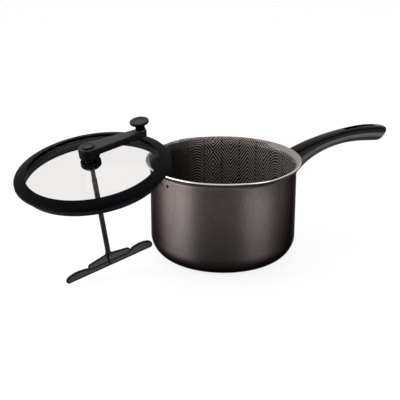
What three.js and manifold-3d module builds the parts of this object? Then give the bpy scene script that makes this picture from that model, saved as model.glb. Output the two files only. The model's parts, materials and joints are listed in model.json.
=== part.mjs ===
// Saucepan with a glass lid and a hand-cranked stirrer, as an assembly of separate pieces.
// Millimetres, +Z up. Origin: the centre of the pan's flat underside. +X runs out along the handle.
// The lid stands beside the pan on the tip of its paddle, opposite the handle, leaning a little.
import * as THREE from 'three';
import { mergeVertices } from 'three/addons/utils/BufferGeometryUtils.js';
import Module from 'manifold-3d';

// ---------------------------------------------------------------- driving dimensions
// Fits
const assemblyGap = 0.3; // between pieces that touch
const runningGap = 0.3; // between pieces that turn or slide on each other

// Pan
const panRadius = 102.5; // outside of the straight wall
const panHeight = 140;
const panWall = 2;
const panFloor = 2.5;
const panCornerRadius = 31; // outside, between wall and floor
const flareHeight = 11; // the wall turns outward over this height
const flareSpread = 6.3;
const rimEdge = 2; // height of the cut edge
const spoutReach = 3.2;
const spoutHalfAngle = 22; // degrees
const steamHoleRadius = 2.6;
const steamHoleDrop = 17.5; // below the rim
const steamHolePitch = 14; // along the wall
const steamHoleCount = 4;

// Handle
const bracketThickness = 2;
const bracketHalfWidth = 12;
const bracketHalfHeight = 16;
const bracketDrop = 4; // from where the wall turns outward down to the bracket's plate
const tongueLength = 26;
const tongueWidth = 12;
const tongueThickness = 7;
const handleReach = 176.2; // from the pan's wall to the tip
const handleTipRise = 27.7; // of the tip above the root, on the centre line
const rootRise = 31.7; // how fast the centre line climbs from the wall
const rootRun = 41;
const tailDrop = 12.3; // how fast it falls towards the tip
const tailRun = 61.6;
const rootHalfHeight = 20.5;
const gripHalfHeight = 10.1;
const tailHalfHeight = 11.9;
const rootHalfWidth = 15.5;
const gripHalfWidth = 12;
const tailHalfWidth = 13.5;
const tipSlant = 0.48; // the end face leans back towards the underside
const hangSlotLength = 59;
const hangSlotWidth = 9;
const hangSlotInset = 10; // from the tip to the slot's far end
const handleScrewRadius = 2;
const handleScrewHeadRadius = 4;
const handleScrewHeadHeight = 2.4;
const handleScrewOffset = 15; // from the bracket's plate
const gripScrewBed = 3; // handle material between the screw's head and the tongue

// Lid
const lidSeatDrop = 4.7; // below the rim, where the lid's flange meets the flare
const rimFlangeThickness = 3.3;
const rimWidth = 15.6; // from the flange's edge to the inner lip
const rimCrown = 5; // the inner lip stands this far above the flange
const rimLip = 2; // thickness of the inner lip over the glass
const skirtDepth = 12; // below the flange
const skirtInset = 1; // from the flange's edge
const skirtTaper = 9.6; // the skirt narrows by this much, to slip inside the pan's wall
const skirtEdge = 1.2;
const lowerLipInset = 1.6;
const glassCurve = 300; // radius of the dome at its middle
const glassEdgeFall = 2; // the dome bends down by this much more at the inner lip
const glassThickness = 4;
const glassGrip = 7.5; // how far the glass reaches into its groove

// Bush in the middle of the glass
const journalRadius = 3; // the shaft's upper part, which turns in the bush
const bushWall = 3.4;
const bushFlangeRadius = 8.8;
const bushFlangeThickness = 2;
const gasketThickness = 1.2;
const nutRadius = 13.5;
const nutHeight = 10;
const bushProtrusion = 0.6;
const slipWasherRadius = 8.2;
const slipWasherThickness = 1;

// Crank
const armThickness = 8.5;
const armReach = 74; // from the shaft to the knob
const armHubRadius = 13.6;
const armTipRadius = 7.7;
const hubFootRadius = 13.5;
const hubFootWall = 1.5;
const hubFootClearance = 0.8; // to the top of the glass
const hubSocketDepth = 3.6;
const hubScrewRadius = 1.6;
const hubScrewHeadRadius = 4.2;
const hubScrewHeadHeight = 2;
const hubScrewLength = 9;
const hubCapRadius = 8;
const hubCapHeight = 1.8;
const hubCapRingWall = 1.2;

// Knob
const knobRadius = 12.6;
const knobDiscHeight = 5;
const knobNeckRadius = 6.8;
const knobNeckHeight = 7.6;
const knobWasherThickness = 0.8;
const knobCapRadius = 8.6;
const knobCapThickness = 1.4;
const spindleRadius = 2.5;
const spindleHeadRadius = 4.4;
const spindleHeadHeight = 1.6;
const spindleSeat = 6.8; // how deep the spindle sits in the arm

// Stirrer
const floatTravel = 16.5; // the shaft can ride up in its bush by this much
const floatReserve = 1.7; // travel left over with the lid on the pan
const shaftRadius = 3.5;
const paddleHalfLength = 67.6;
const paddleThickness = 3;
const paddleBarHeight = 7.8;
const paddleWingHeight = 12.4;
const paddleWebHeight = 18.6;
const paddleStep = 33; // from the shaft to where the web meets the wings
const paddlePitch = 6; // degrees, the wings lean opposite ways
const socketRadius = 4.8;
const socketFootRadius = 2.4;
const tenonRadius = 1.9;
const tenonLength = 12;
const paddlePinRadius = 1;

// How the lid stands beside the pan
const lidTilt = 12.25; // degrees
const lidHeading = 207.5; // degrees, the way it leans
const standBearing = 177.5; // degrees, from the pan to the paddle
const standGap = 4.7; // between the turning paddle and the pan's wall
const crankTurn = -3.4; // degrees, where the arm stands
const stirrerTurn = 3.7; // degrees, where the paddle stands
const floorClearance = 0.3;

// Roundness
const wideSegments = 72;
const midSegments = 32;
const smallSegments = 20;

// ---------------------------------------------------------------- shape helpers
const wasm = await Module();
wasm.setup();

const degrees = THREE.MathUtils.degToRad;
const smooth = (t) => THREE.MathUtils.smoothstep(t, 0, 1);
const point = (x, y) => new THREE.Vector2(x, y);

// A body turned about +Z from a profile of radius and height.
function turned(profile, segments) {
  const points = profile.map(([radius, height]) => point(radius, height));
  return new THREE.LatheGeometry(points, segments).rotateX(Math.PI / 2);
}

// A ring's profile closes on itself.
function turnedRing(profile, segments) {
  return turned([...profile, profile[0]], segments);
}

function rod(radius, bottom, top, segments = smallSegments) {
  return turned([[0, bottom], [radius, bottom], [radius, top], [0, top]], segments);
}

function washer(innerRadius, outerRadius, bottom, top, segments = midSegments) {
  const profile = [[innerRadius, bottom], [outerRadius, bottom], [outerRadius, top], [innerRadius, top]];
  return turnedRing(profile, segments);
}

// A plate from an outline in the XY plane.
function plate(outline, thickness, curveSegments = 10) {
  return new THREE.ExtrudeGeometry(outline, { depth: thickness, bevelEnabled: false, curveSegments });
}

function toSolid(geometry) {
  const bare = geometry.clone();
  bare.deleteAttribute('normal');
  bare.deleteAttribute('uv');
  const merged = mergeVertices(bare, 1e-4);
  const vertProperties = new Float32Array(merged.attributes.position.array);
  const triVerts = new Uint32Array(merged.index.array);
  return new wasm.Manifold(new wasm.Mesh({ numProp: 3, vertProperties, triVerts }));
}

function toGeometry(solid) {
  const mesh = solid.getMesh();
  const geometry = new THREE.BufferGeometry();
  geometry.setAttribute('position', new THREE.BufferAttribute(mesh.vertProperties, mesh.numProp));
  geometry.setIndex(new THREE.BufferAttribute(mesh.triVerts, 1));
  geometry.computeVertexNormals();
  return geometry;
}

function cut(geometry, ...tools) {
  const solid = tools.reduce((body, tool) => body.subtract(toSolid(tool)), toSolid(geometry));
  return toGeometry(solid);
}

function join(geometry, ...others) {
  const solid = others.reduce((body, other) => body.add(toSolid(other)), toSolid(geometry));
  return toGeometry(solid);
}

// A closed skin over a row of outlines that all have the same number of points.
function loft(sections) {
  const ringSize = sections[0].length;
  const positions = sections.flat().flatMap((p) => [p.x, p.y, p.z]);
  const index = [];
  for (let ring = 0; ring + 1 < sections.length; ring += 1) {
    for (let i = 0; i < ringSize; i += 1) {
      const next = (i + 1) % ringSize;
      const a = ring * ringSize + i;
      const b = ring * ringSize + next;
      index.push(a, b, b + ringSize, a, b + ringSize, a + ringSize);
    }
  }
  const last = (sections.length - 1) * ringSize;
  for (let i = 1; i + 1 < ringSize; i += 1) {
    index.push(0, i + 1, i);
    index.push(last, last + i, last + i + 1);
  }
  const geometry = new THREE.BufferGeometry();
  geometry.setAttribute('position', new THREE.Float32BufferAttribute(positions, 3));
  geometry.setIndex(index);
  geometry.computeVertexNormals();
  return geometry;
}

// ---------------------------------------------------------------- materials
const finish = (color, metalness, roughness) => ({ color, metalness, roughness });
const coatedAluminium = finish(0x4a433f, 0.7, 0.42);
const phenolic = finish(0x0d0d0e, 0, 0.22);
const blackNylon = finish(0x1b1b1d, 0, 0.5);
const blackRubber = finish(0x101012, 0, 0.6);
const steel = finish(0xb8b8b8, 1, 0.3);
const darkSteel = finish(0x2c2c2e, 0.6, 0.45);
const clearGlass = finish(0xeeedeb, 0, 0.03);

function piece(name, geometry, look) {
  const material = new THREE.MeshStandardMaterial(look);
  const mesh = new THREE.Mesh(geometry, material);
  mesh.name = name;
  return mesh;
}

// ---------------------------------------------------------------- pan
const flareStart = panHeight - flareHeight;
const panInnerRadius = panRadius - panWall;
const innerSpread = flareSpread + panWall; // the inside reaches the same edge as the outside

// Radius of the pan's inside at a height within the flare.
function flareInnerRadius(height) {
  const t = (height - flareStart) / flareHeight;
  return panInnerRadius + innerSpread * t * t;
}

function panProfile() {
  const cornerSteps = 8;
  const flareSteps = 5;
  const flatRadius = panRadius - panCornerRadius;
  const outside = [[0, 0]];
  const inside = [[0, panFloor]];
  for (let i = 0; i <= cornerSteps; i += 1) {
    const angle = (i / cornerSteps) * (Math.PI / 2);
    const out = Math.sin(angle);
    const down = Math.cos(angle);
    outside.push([flatRadius + panCornerRadius * out, panCornerRadius * (1 - down)]);
    const innerWidth = panCornerRadius - panWall;
    const innerHeight = panCornerRadius - panFloor;
    inside.push([flatRadius + innerWidth * out, panCornerRadius - innerHeight * down]);
  }
  for (let i = 0; i <= flareSteps; i += 1) {
    const t = i / flareSteps;
    outside.push([panRadius + flareSpread * t * t, flareStart + flareHeight * t - rimEdge * t]);
    inside.push([panInnerRadius + innerSpread * t * t, flareStart + flareHeight * t]);
  }
  return [...outside, ...inside.reverse()];
}

// Two pouring spouts push the flare outward, on the left and right of the handle.
function shapeSpouts(geometry) {
  const position = geometry.attributes.position;
  for (let i = 0; i < position.count; i += 1) {
    const x = position.getX(i);
    const y = position.getY(i);
    const rise = Math.max(0, (position.getZ(i) - flareStart) / flareHeight);
    const fromSpout = Math.abs(Math.asin(Math.min(1, Math.abs(x) / Math.max(1, Math.hypot(x, y)))));
    const share = Math.max(0, 1 - fromSpout / degrees(spoutHalfAngle));
    const stretch = 1 + (spoutReach * rise * smooth(share)) / panRadius;
    position.setXY(i, x * stretch, y * stretch);
  }
}

function steamHole(index) {
  const step = steamHolePitch / panRadius;
  const angle = Math.PI + (index - (steamHoleCount - 1) / 2) * step;
  const hole = rod(steamHoleRadius, panRadius - 3 * panWall, panRadius + 2 * panWall);
  hole.rotateY(Math.PI / 2);
  hole.rotateZ(angle);
  hole.translate(0, 0, panHeight - steamHoleDrop);
  return hole;
}

function panShell() {
  const shell = turned(panProfile(), wideSegments);
  shapeSpouts(shell);
  const holes = Array.from({ length: steamHoleCount }, (unused, index) => steamHole(index));
  return piece('pan_shell', cut(shell, ...holes), coatedAluminium);
}

// ---------------------------------------------------------------- handle
const handleRootHeight = flareStart - bracketDrop - bracketHalfHeight;
const plateInnerRadius = panRadius + assemblyGap;
const plateOuterRadius = plateInnerRadius + bracketThickness;
const gripRootRadius = plateOuterRadius + assemblyGap;
const tongueSlope = Math.atan2(rootRise, rootRun);
const tongueHalf = tongueThickness / 2;
const tongueRoot = plateOuterRadius - bracketThickness / 2;
const tongueEnd = tongueLength + bracketThickness / 2;
const screwAlongTongue = handleScrewOffset + bracketThickness / 2;

// Places a shape drawn along +X on the tongue's sloping line.
function alongTongue(geometry) {
  return geometry.rotateY(-tongueSlope).translate(tongueRoot, 0, handleRootHeight);
}

function tongueBlock(clearance) {
  const length = tongueEnd + clearance;
  const block = new THREE.BoxGeometry(length, tongueWidth + 2 * clearance, tongueThickness + 2 * clearance);
  return alongTongue(block.translate(length / 2, 0, 0));
}

function handleBracket() {
  const outline = new THREE.Shape();
  outline.absellipse(0, 0, bracketHalfWidth, bracketHalfHeight, 0, 2 * Math.PI);
  const blank = plate(outline, panRadius, 8);
  blank.rotateZ(Math.PI / 2);
  blank.rotateY(Math.PI / 2);
  blank.translate(panRadius / 2, 0, handleRootHeight);
  const depth = 3 * bracketHalfHeight;
  const shape = toSolid(blank)
    .intersect(toSolid(washer(plateInnerRadius, plateOuterRadius, -depth, depth, 4 * wideSegments)
      .translate(0, 0, handleRootHeight)))
    .add(toSolid(tongueBlock(0)))
    .subtract(toSolid(handleScrewShape(handleScrewRadius + assemblyGap, 0)))
    .subtract(toSolid(rod(plateInnerRadius, -depth, depth, 4 * wideSegments).translate(0, 0, handleRootHeight)));
  return piece('handle_bracket', toGeometry(shape), steel);
}

// A screw drawn on the tongue: its shank crosses the tongue and its head sits in the underside.
function handleScrewShape(shankRadius, headRadius) {
  const headTop = -tongueHalf - gripScrewBed;
  const headBottom = headTop - handleScrewHeadHeight;
  const shankTop = tongueHalf + assemblyGap;
  const profile = headRadius > 0
    ? [[0, headBottom], [headRadius, headBottom], [headRadius, headTop], [shankRadius, headTop],
      [shankRadius, shankTop], [0, shankTop]]
    : [[0, headBottom], [shankRadius, headBottom], [shankRadius, shankTop], [0, shankTop]];
  return alongTongue(turned(profile, smallSegments).translate(screwAlongTongue, 0, 0));
}

function handleScrew() {
  const shape = handleScrewShape(handleScrewRadius, handleScrewHeadRadius);
  return piece('handle_screw', shape, steel);
}

const handleLine = new THREE.CubicBezierCurve(
  point(gripRootRadius, handleRootHeight),
  point(gripRootRadius + rootRun, handleRootHeight + rootRise),
  point(panRadius + handleReach - tailRun, handleRootHeight + handleTipRise + tailDrop),
  point(panRadius + handleReach, handleRootHeight + handleTipRise),
);

function gripSize(t) {
  const towardsRoot = Math.max(0, 1 - Math.max(0, t) / 0.55) ** 2;
  const towardsTail = smooth((t - 0.6) / 0.32);
  return {
    halfHeight: gripHalfHeight
      + (rootHalfHeight - gripHalfHeight) * towardsRoot
      + (tailHalfHeight - gripHalfHeight) * towardsTail,
    halfWidth: gripHalfWidth
      + (rootHalfWidth - gripHalfWidth) * towardsRoot
      + (tailHalfWidth - gripHalfWidth) * towardsTail,
  };
}

// One cross-section: a boxy upper half and a round lower half.
function gripSection(t, scale) {
  const sides = 24;
  const centre = handleLine.getPoint(Math.max(0, t));
  const tangent = handleLine.getTangent(Math.max(0, t));
  // Behind its start the grip runs straight on, into the wall that trims it.
  centre.add(point(3 * rootRun, 3 * rootRise).multiplyScalar(Math.min(0, t)));
  const { halfHeight, halfWidth } = gripSize(t);
  const slant = tipSlant * smooth((t - 0.72) / 0.28);
  const power = (value, exponent) => Math.sign(value) * Math.abs(value) ** exponent;
  return Array.from({ length: sides }, (unused, i) => {
    const angle = (i / sides) * 2 * Math.PI;
    const upper = Math.sin(angle) > 0;
    const exponent = upper ? 0.62 : 0.92;
    const across = halfWidth * scale * power(Math.cos(angle), exponent);
    const up = halfHeight * scale * power(Math.sin(angle), exponent);
    const along = slant * up;
    return new THREE.Vector3(
      centre.x + tangent.x * along - tangent.y * up,
      across,
      centre.y + tangent.y * along + tangent.x * up,
    );
  });
}

function handleGrip() {
  const stations = 22;
  const rounding = [[0.98, 0.98], [0.992, 0.92], [1, 0.8]];
  const sections = [gripSection(-0.25, 1), gripSection(-0.12, 1)];
  for (let i = 0; i <= stations; i += 1) {
    sections.push(gripSection((i / stations) * 0.96, 1));
  }
  rounding.forEach(([t, scale]) => sections.push(gripSection(t, scale)));
  const wall = rod(gripRootRadius, 0, panHeight + panRadius, 4 * wideSegments);
  const slot = new THREE.Shape();
  const slotHalf = hangSlotWidth / 2;
  const slotEnd = hangSlotLength / 2 - slotHalf;
  slot.absarc(slotEnd, 0, slotHalf, -Math.PI / 2, Math.PI / 2);
  slot.absarc(-slotEnd, 0, slotHalf, Math.PI / 2, (3 * Math.PI) / 2);
  const slotCutter = plate(slot, panHeight, 8);
  slotCutter.translate(panRadius + handleReach - hangSlotInset - hangSlotLength / 2, 0, panHeight / 2);
  const screwHole = handleScrewShape(handleScrewRadius + assemblyGap, 0);
  const headReach = -tongueHalf - gripScrewBed + assemblyGap;
  const headPocket = alongTongue(
    rod(handleScrewHeadRadius + assemblyGap, -2 * rootHalfHeight, headReach).translate(screwAlongTongue, 0, 0),
  );
  const shape = cut(loft(sections), wall, tongueBlock(assemblyGap), slotCutter, screwHole, headPocket);
  return piece('handle_grip', shape, phenolic);
}

// ---------------------------------------------------------------- lid, in its own frame
// z = 0 is the underside of the flange, which rests on the pan's flare; +Z is the shaft's axis.
const rimOuterRadius = flareInnerRadius(panHeight - lidSeatDrop) - assemblyGap;
const lipRadius = rimOuterRadius - rimWidth;
const lipTop = rimFlangeThickness + rimCrown;
const glassRadius = lipRadius + glassGrip;
const edgeFall = (radius) => glassEdgeFall * (radius / lipRadius) ** 4;
const domeDrop = (radius, curve) => curve - Math.sqrt(curve * curve - radius * radius) + edgeFall(radius);
const glassTop = lipTop - rimLip - assemblyGap + domeDrop(lipRadius, glassCurve);
const glassBottom = glassTop - glassThickness;
const glassInnerCurve = glassCurve - glassThickness;
const upperSkin = (radius) => glassTop - domeDrop(radius, glassCurve);
const lowerSkin = (radius) => glassBottom - domeDrop(radius, glassInnerCurve);
const bushRadius = journalRadius + runningGap + bushWall;
const glassHoleRadius = bushRadius + assemblyGap;

function lidGlass() {
  const steps = 8;
  const radii = Array.from({ length: steps + 1 }, (unused, i) => (
    glassHoleRadius + ((glassRadius - glassHoleRadius) * i) / steps
  ));
  const under = radii.map((radius) => [radius, lowerSkin(radius)]);
  const over = radii.map((radius) => [radius, upperSkin(radius)]).reverse();
  return piece('lid_glass', turnedRing([...under, ...over], wideSegments), clearGlass);
}

// The groove follows the glass; the skirt below it hangs inside the pan.
function lidRim() {
  const grooveRadius = glassRadius + assemblyGap;
  const skirtTopRadius = rimOuterRadius - skirtInset;
  const skirtFootRadius = skirtTopRadius - skirtTaper;
  const lowerLipRadius = lipRadius + lowerLipInset;
  const edgeRound = rimFlangeThickness / 4;
  const profile = [
    [skirtFootRadius - skirtEdge, -skirtDepth],
    [skirtFootRadius, -skirtDepth],
    [skirtTopRadius, 0],
    [rimOuterRadius - edgeRound, 0],
    [rimOuterRadius, edgeRound],
    [rimOuterRadius, rimFlangeThickness - edgeRound],
    [rimOuterRadius - edgeRound, rimFlangeThickness],
    [(rimOuterRadius + lipRadius) / 2, rimFlangeThickness + rimCrown * 0.62],
    [lipRadius + edgeRound, lipTop],
    [lipRadius, lipTop - edgeRound],
    [lipRadius, upperSkin(lipRadius) + assemblyGap],
    [grooveRadius, upperSkin(grooveRadius) + assemblyGap],
    [grooveRadius, lowerSkin(grooveRadius) - assemblyGap],
    [lowerLipRadius, lowerSkin(lowerLipRadius) - assemblyGap],
  ];
  return piece('lid_rim', turnedRing(profile, wideSegments), blackNylon);
}

// Everything on the shaft's axis is stacked from the glass, with a gap between neighbours.
const upperGasketBottom = glassTop + assemblyGap;
const upperGasketTop = upperGasketBottom + gasketThickness;
const bushFlangeBottom = upperGasketTop + assemblyGap;
const bushFlangeTop = bushFlangeBottom + bushFlangeThickness;
const slipWasherBottom = bushFlangeTop + assemblyGap;
const slipWasherTop = slipWasherBottom + slipWasherThickness;
const hubBottom = slipWasherTop + assemblyGap;
const lowerGasketTop = lowerSkin(bushFlangeRadius) - assemblyGap;
const lowerGasketBottom = lowerGasketTop - gasketThickness;
const nutTop = lowerGasketBottom - assemblyGap;
const nutBottom = nutTop - nutHeight;
const bushEnd = nutBottom - bushProtrusion;

function gasketUpper() {
  const shape = washer(glassHoleRadius, bushFlangeRadius, upperGasketBottom, upperGasketTop);
  return piece('gasket_upper', shape, blackRubber);
}

function gasketLower() {
  const shape = washer(glassHoleRadius, bushFlangeRadius, lowerGasketBottom, lowerGasketTop);
  return piece('gasket_lower', shape, blackRubber);
}

function shaftBush() {
  const bore = journalRadius + runningGap;
  const profile = [
    [bore, bushEnd],
    [bushRadius, bushEnd],
    [bushRadius, bushFlangeBottom],
    [bushFlangeRadius, bushFlangeBottom],
    [bushFlangeRadius, bushFlangeTop],
    [bore, bushFlangeTop],
  ];
  return piece('shaft_bush', turnedRing(profile, midSegments), blackNylon);
}

function bushNut() {
  const edge = nutHeight / 3;
  const bore = bushRadius + assemblyGap;
  const profile = [
    [bore, nutBottom],
    [nutRadius - edge, nutBottom],
    [nutRadius, nutBottom + edge],
    [nutRadius, nutTop],
    [bore, nutTop],
  ];
  return piece('bush_nut', turnedRing(profile, midSegments), blackNylon);
}

function slipWasher() {
  const shape = washer(journalRadius + runningGap, slipWasherRadius, slipWasherBottom, slipWasherTop);
  return piece('slip_washer', shape, blackNylon);
}

// ---------------------------------------------------------------- crank
const armTop = hubBottom + armThickness;
const socketTop = hubBottom + hubSocketDepth;
const shaftTop = socketTop - assemblyGap;
const capRingRadius = hubCapRadius - 2.4;
const counterboreRadius = capRingRadius + assemblyGap;
const screwHeadTop = armTop - assemblyGap - 1;
const screwHeadBottom = screwHeadTop - hubScrewHeadHeight;
const counterboreFloor = screwHeadBottom - assemblyGap;

// The arm's outline: a round hub and a round tip joined by straight tapering sides.
function armOutline() {
  const lean = Math.asin((armHubRadius - armTipRadius) / armReach);
  const outline = new THREE.Shape();
  outline.absarc(0, 0, armHubRadius, Math.PI / 2 - lean, (3 * Math.PI) / 2 + lean);
  outline.absarc(armReach, 0, armTipRadius, lean - Math.PI / 2, Math.PI / 2 - lean);
  return outline;
}

function crankArm() {
  const foot = glassTop + hubFootClearance;
  const arm = plate(armOutline(), armThickness, 14).translate(0, 0, hubBottom);
  const skirtInner = hubFootRadius - hubFootWall;
  const hub = turned([
    [0, hubBottom],
    [skirtInner, hubBottom],
    [skirtInner, foot],
    [hubFootRadius, foot],
    [armHubRadius, armTop],
    [0, armTop],
  ], midSegments);
  const shape = cut(
    join(arm, hub),
    rod(journalRadius + assemblyGap, foot, socketTop),
    rod(hubScrewRadius + assemblyGap, foot, armTop),
    rod(counterboreRadius, counterboreFloor, armTop + 1, midSegments),
    rod(spindleRadius + assemblyGap, armTop - spindleSeat - assemblyGap, armTop + 1).translate(armReach, 0, 0),
  );
  return piece('crank_arm', shape, blackNylon);
}

function hubScrew() {
  const shankEnd = screwHeadBottom - hubScrewLength;
  const profile = [
    [0, shankEnd],
    [hubScrewRadius, shankEnd],
    [hubScrewRadius, screwHeadBottom],
    [hubScrewHeadRadius, screwHeadBottom],
    [hubScrewHeadRadius, screwHeadTop],
    [0, screwHeadTop],
  ];
  return piece('hub_screw', turned(profile, smallSegments), steel);
}

// The cap covers the screw; a ring under it snaps into the counterbore.
function hubCap() {
  const bottom = armTop + assemblyGap;
  const top = bottom + hubCapHeight;
  const ringInner = Math.max(capRingRadius - hubCapRingWall, hubScrewHeadRadius + assemblyGap);
  const ringBottom = counterboreFloor + assemblyGap;
  const edge = hubCapHeight / 4;
  const profile = [
    [0, bottom],
    [ringInner, bottom],
    [ringInner, ringBottom],
    [capRingRadius, ringBottom],
    [capRingRadius, bottom],
    [hubCapRadius, bottom],
    [hubCapRadius, top - edge],
    [hubCapRadius - edge, top],
    [0, top],
  ];
  return piece('hub_cap', turned(profile, midSegments), blackNylon);
}

// ---------------------------------------------------------------- knob
const knobWasherBottom = armTop + assemblyGap;
const knobWasherTop = knobWasherBottom + knobWasherThickness;
const knobBottom = knobWasherTop + runningGap;
const knobDiscBottom = knobBottom + knobNeckHeight;
const knobTop = knobDiscBottom + knobDiscHeight;
const knobCapBottom = knobTop - knobCapThickness;
const spindleHeadTop = knobCapBottom - 2 * runningGap;
const spindleHeadBottom = spindleHeadTop - spindleHeadHeight;

function knobSpindle() {
  const profile = [
    [0, armTop - spindleSeat],
    [spindleRadius, armTop - spindleSeat],
    [spindleRadius, spindleHeadBottom],
    [spindleHeadRadius, spindleHeadBottom],
    [spindleHeadRadius, spindleHeadTop],
    [0, spindleHeadTop],
  ];
  return piece('knob_spindle', turned(profile, smallSegments), steel);
}

function knobWasher() {
  const bore = spindleRadius + assemblyGap;
  const shape = washer(bore, knobNeckRadius, knobWasherBottom, knobWasherTop, smallSegments);
  return piece('knob_washer', shape, steel);
}

function knobBody() {
  const bore = spindleRadius + runningGap;
  const pocketRadius = spindleHeadRadius + runningGap;
  const pocketFloor = spindleHeadBottom - runningGap;
  const capSeatRadius = knobCapRadius + assemblyGap;
  const capSeat = knobCapBottom - assemblyGap;
  const edge = knobDiscHeight / 4;
  const profile = [
    [bore, knobBottom],
    [knobNeckRadius, knobBottom],
    [knobNeckRadius, knobDiscBottom],
    [knobRadius - edge, knobDiscBottom + edge / 2],
    [knobRadius, knobDiscBottom + 2 * edge],
    [knobRadius, knobTop - edge],
    [knobRadius - edge, knobTop],
    [capSeatRadius, knobTop],
    [capSeatRadius, capSeat],
    [pocketRadius, capSeat],
    [pocketRadius, pocketFloor],
    [bore, pocketFloor],
  ];
  return piece('knob_body', turnedRing(profile, midSegments), blackNylon);
}

function knobCap() {
  return piece('knob_cap', rod(knobCapRadius, knobCapBottom, knobTop, midSegments), blackNylon);
}

// ---------------------------------------------------------------- stirrer
const seatedDepth = panHeight - lidSeatDrop - panFloor;
const paddleBottom = -(seatedDepth + floatTravel - floatReserve);
const shoulder = bushEnd - floatTravel - runningGap;
const socketTopHeight = paddleBottom + paddleWebHeight + 1;
const tenonEnd = socketTopHeight + assemblyGap - tenonLength;
const pinHeight = socketTopHeight - tenonLength * 0.45;

// The shaft steps up to its full size below the bush, and that shoulder ends its upward travel.
function stirrerShaft() {
  const shaftFoot = socketTopHeight + assemblyGap;
  const profile = [
    [0, tenonEnd],
    [tenonRadius, tenonEnd],
    [tenonRadius, shaftFoot],
    [shaftRadius, shaftFoot],
    [shaftRadius, shoulder],
    [journalRadius, shoulder],
    [journalRadius, shaftTop],
    [0, shaftTop],
  ];
  const body = turned(profile, smallSegments);
  const tapping = rod(hubScrewRadius + assemblyGap, screwHeadBottom - hubScrewLength - assemblyGap, armTop);
  const shape = cut(body, tapping, paddlePinShape(paddlePinRadius + assemblyGap));
  return piece('stirrer_shaft', shape, darkSteel);
}

function paddlePinShape(radius) {
  const reach = socketRadius + 0.6;
  return rod(radius, -reach, reach, 12).rotateX(Math.PI / 2).translate(0, 0, pinHeight);
}

function paddlePin() {
  return piece('paddle_pin', paddlePinShape(paddlePinRadius), steel);
}

// The bar with its two raised wings, drawn as height over distance from the shaft.
function paddleBarOutline() {
  const outline = new THREE.Shape();
  const tip = paddleHalfLength;
  const wing = paddleWingHeight;
  const flat = paddleHalfLength - 4;
  outline.moveTo(-flat, 0);
  outline.lineTo(flat, 0);
  outline.quadraticCurveTo(tip, 0.5, tip, wing * 0.42);
  outline.quadraticCurveTo(tip - 1, wing * 0.78, tip - 8, wing * 0.9);
  outline.quadraticCurveTo((tip + paddleStep) / 2, wing * 1.12, paddleStep + 4, wing * 0.88);
  outline.lineTo(paddleStep - 4, paddleBarHeight);
  outline.lineTo(4 - paddleStep, paddleBarHeight);
  outline.lineTo(-paddleStep - 4, wing * 0.88);
  outline.quadraticCurveTo(-(tip + paddleStep) / 2, wing * 1.12, 8 - tip, wing * 0.9);
  outline.quadraticCurveTo(1 - tip, wing * 0.78, -tip, wing * 0.42);
  outline.quadraticCurveTo(-tip, 0.5, -flat, 0);
  return outline;
}

function paddleWebOutline() {
  const outline = new THREE.Shape();
  const side = paddleStep - 5;
  outline.moveTo(-paddleStep, 1);
  outline.lineTo(paddleStep, 1);
  outline.lineTo(paddleStep, paddleBarHeight + 2.6);
  outline.quadraticCurveTo(paddleStep - 1, paddleWebHeight * 0.78, side, paddleWebHeight * 0.8);
  outline.lineTo(socketRadius, paddleWebHeight);
  outline.lineTo(-socketRadius, paddleWebHeight);
  outline.lineTo(-side, paddleWebHeight * 0.8);
  outline.quadraticCurveTo(1 - paddleStep, paddleWebHeight * 0.78, -paddleStep, paddleBarHeight + 2.6);
  return outline;
}

// Leans the two wings opposite ways, so that they lift what they meet as the crank turns.
function pitchWings(geometry) {
  const position = geometry.attributes.position;
  const full = paddleStep + 8;
  for (let i = 0; i < position.count; i += 1) {
    const along = position.getX(i);
    const share = smooth((Math.abs(along) - paddleStep + 4) / (full - paddleStep + 4));
    const lean = Math.sign(along) * Math.tan(degrees(paddlePitch)) * share * position.getZ(i);
    position.setY(i, position.getY(i) + lean);
  }
  return geometry;
}

function standingPlate(outline, thickness) {
  return plate(outline, thickness, 6).translate(0, 0, -thickness / 2).rotateX(Math.PI / 2);
}

function stirrerPaddle() {
  const bar = pitchWings(standingPlate(paddleBarOutline(), paddleThickness));
  const web = standingPlate(paddleWebOutline(), paddleThickness * 0.6);
  const socket = turned([
    [0, 1.5],
    [socketFootRadius, 1.5],
    [socketRadius, paddleWebHeight + 1],
    [0, paddleWebHeight + 1],
  ], smallSegments);
  const body = join(bar, web, socket).translate(0, 0, paddleBottom);
  const bore = rod(tenonRadius + assemblyGap, tenonEnd - assemblyGap, socketTopHeight + 1);
  const shape = cut(body, bore, paddlePinShape(paddlePinRadius + assemblyGap));
  return piece('stirrer_paddle', shape, blackNylon);
}

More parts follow.
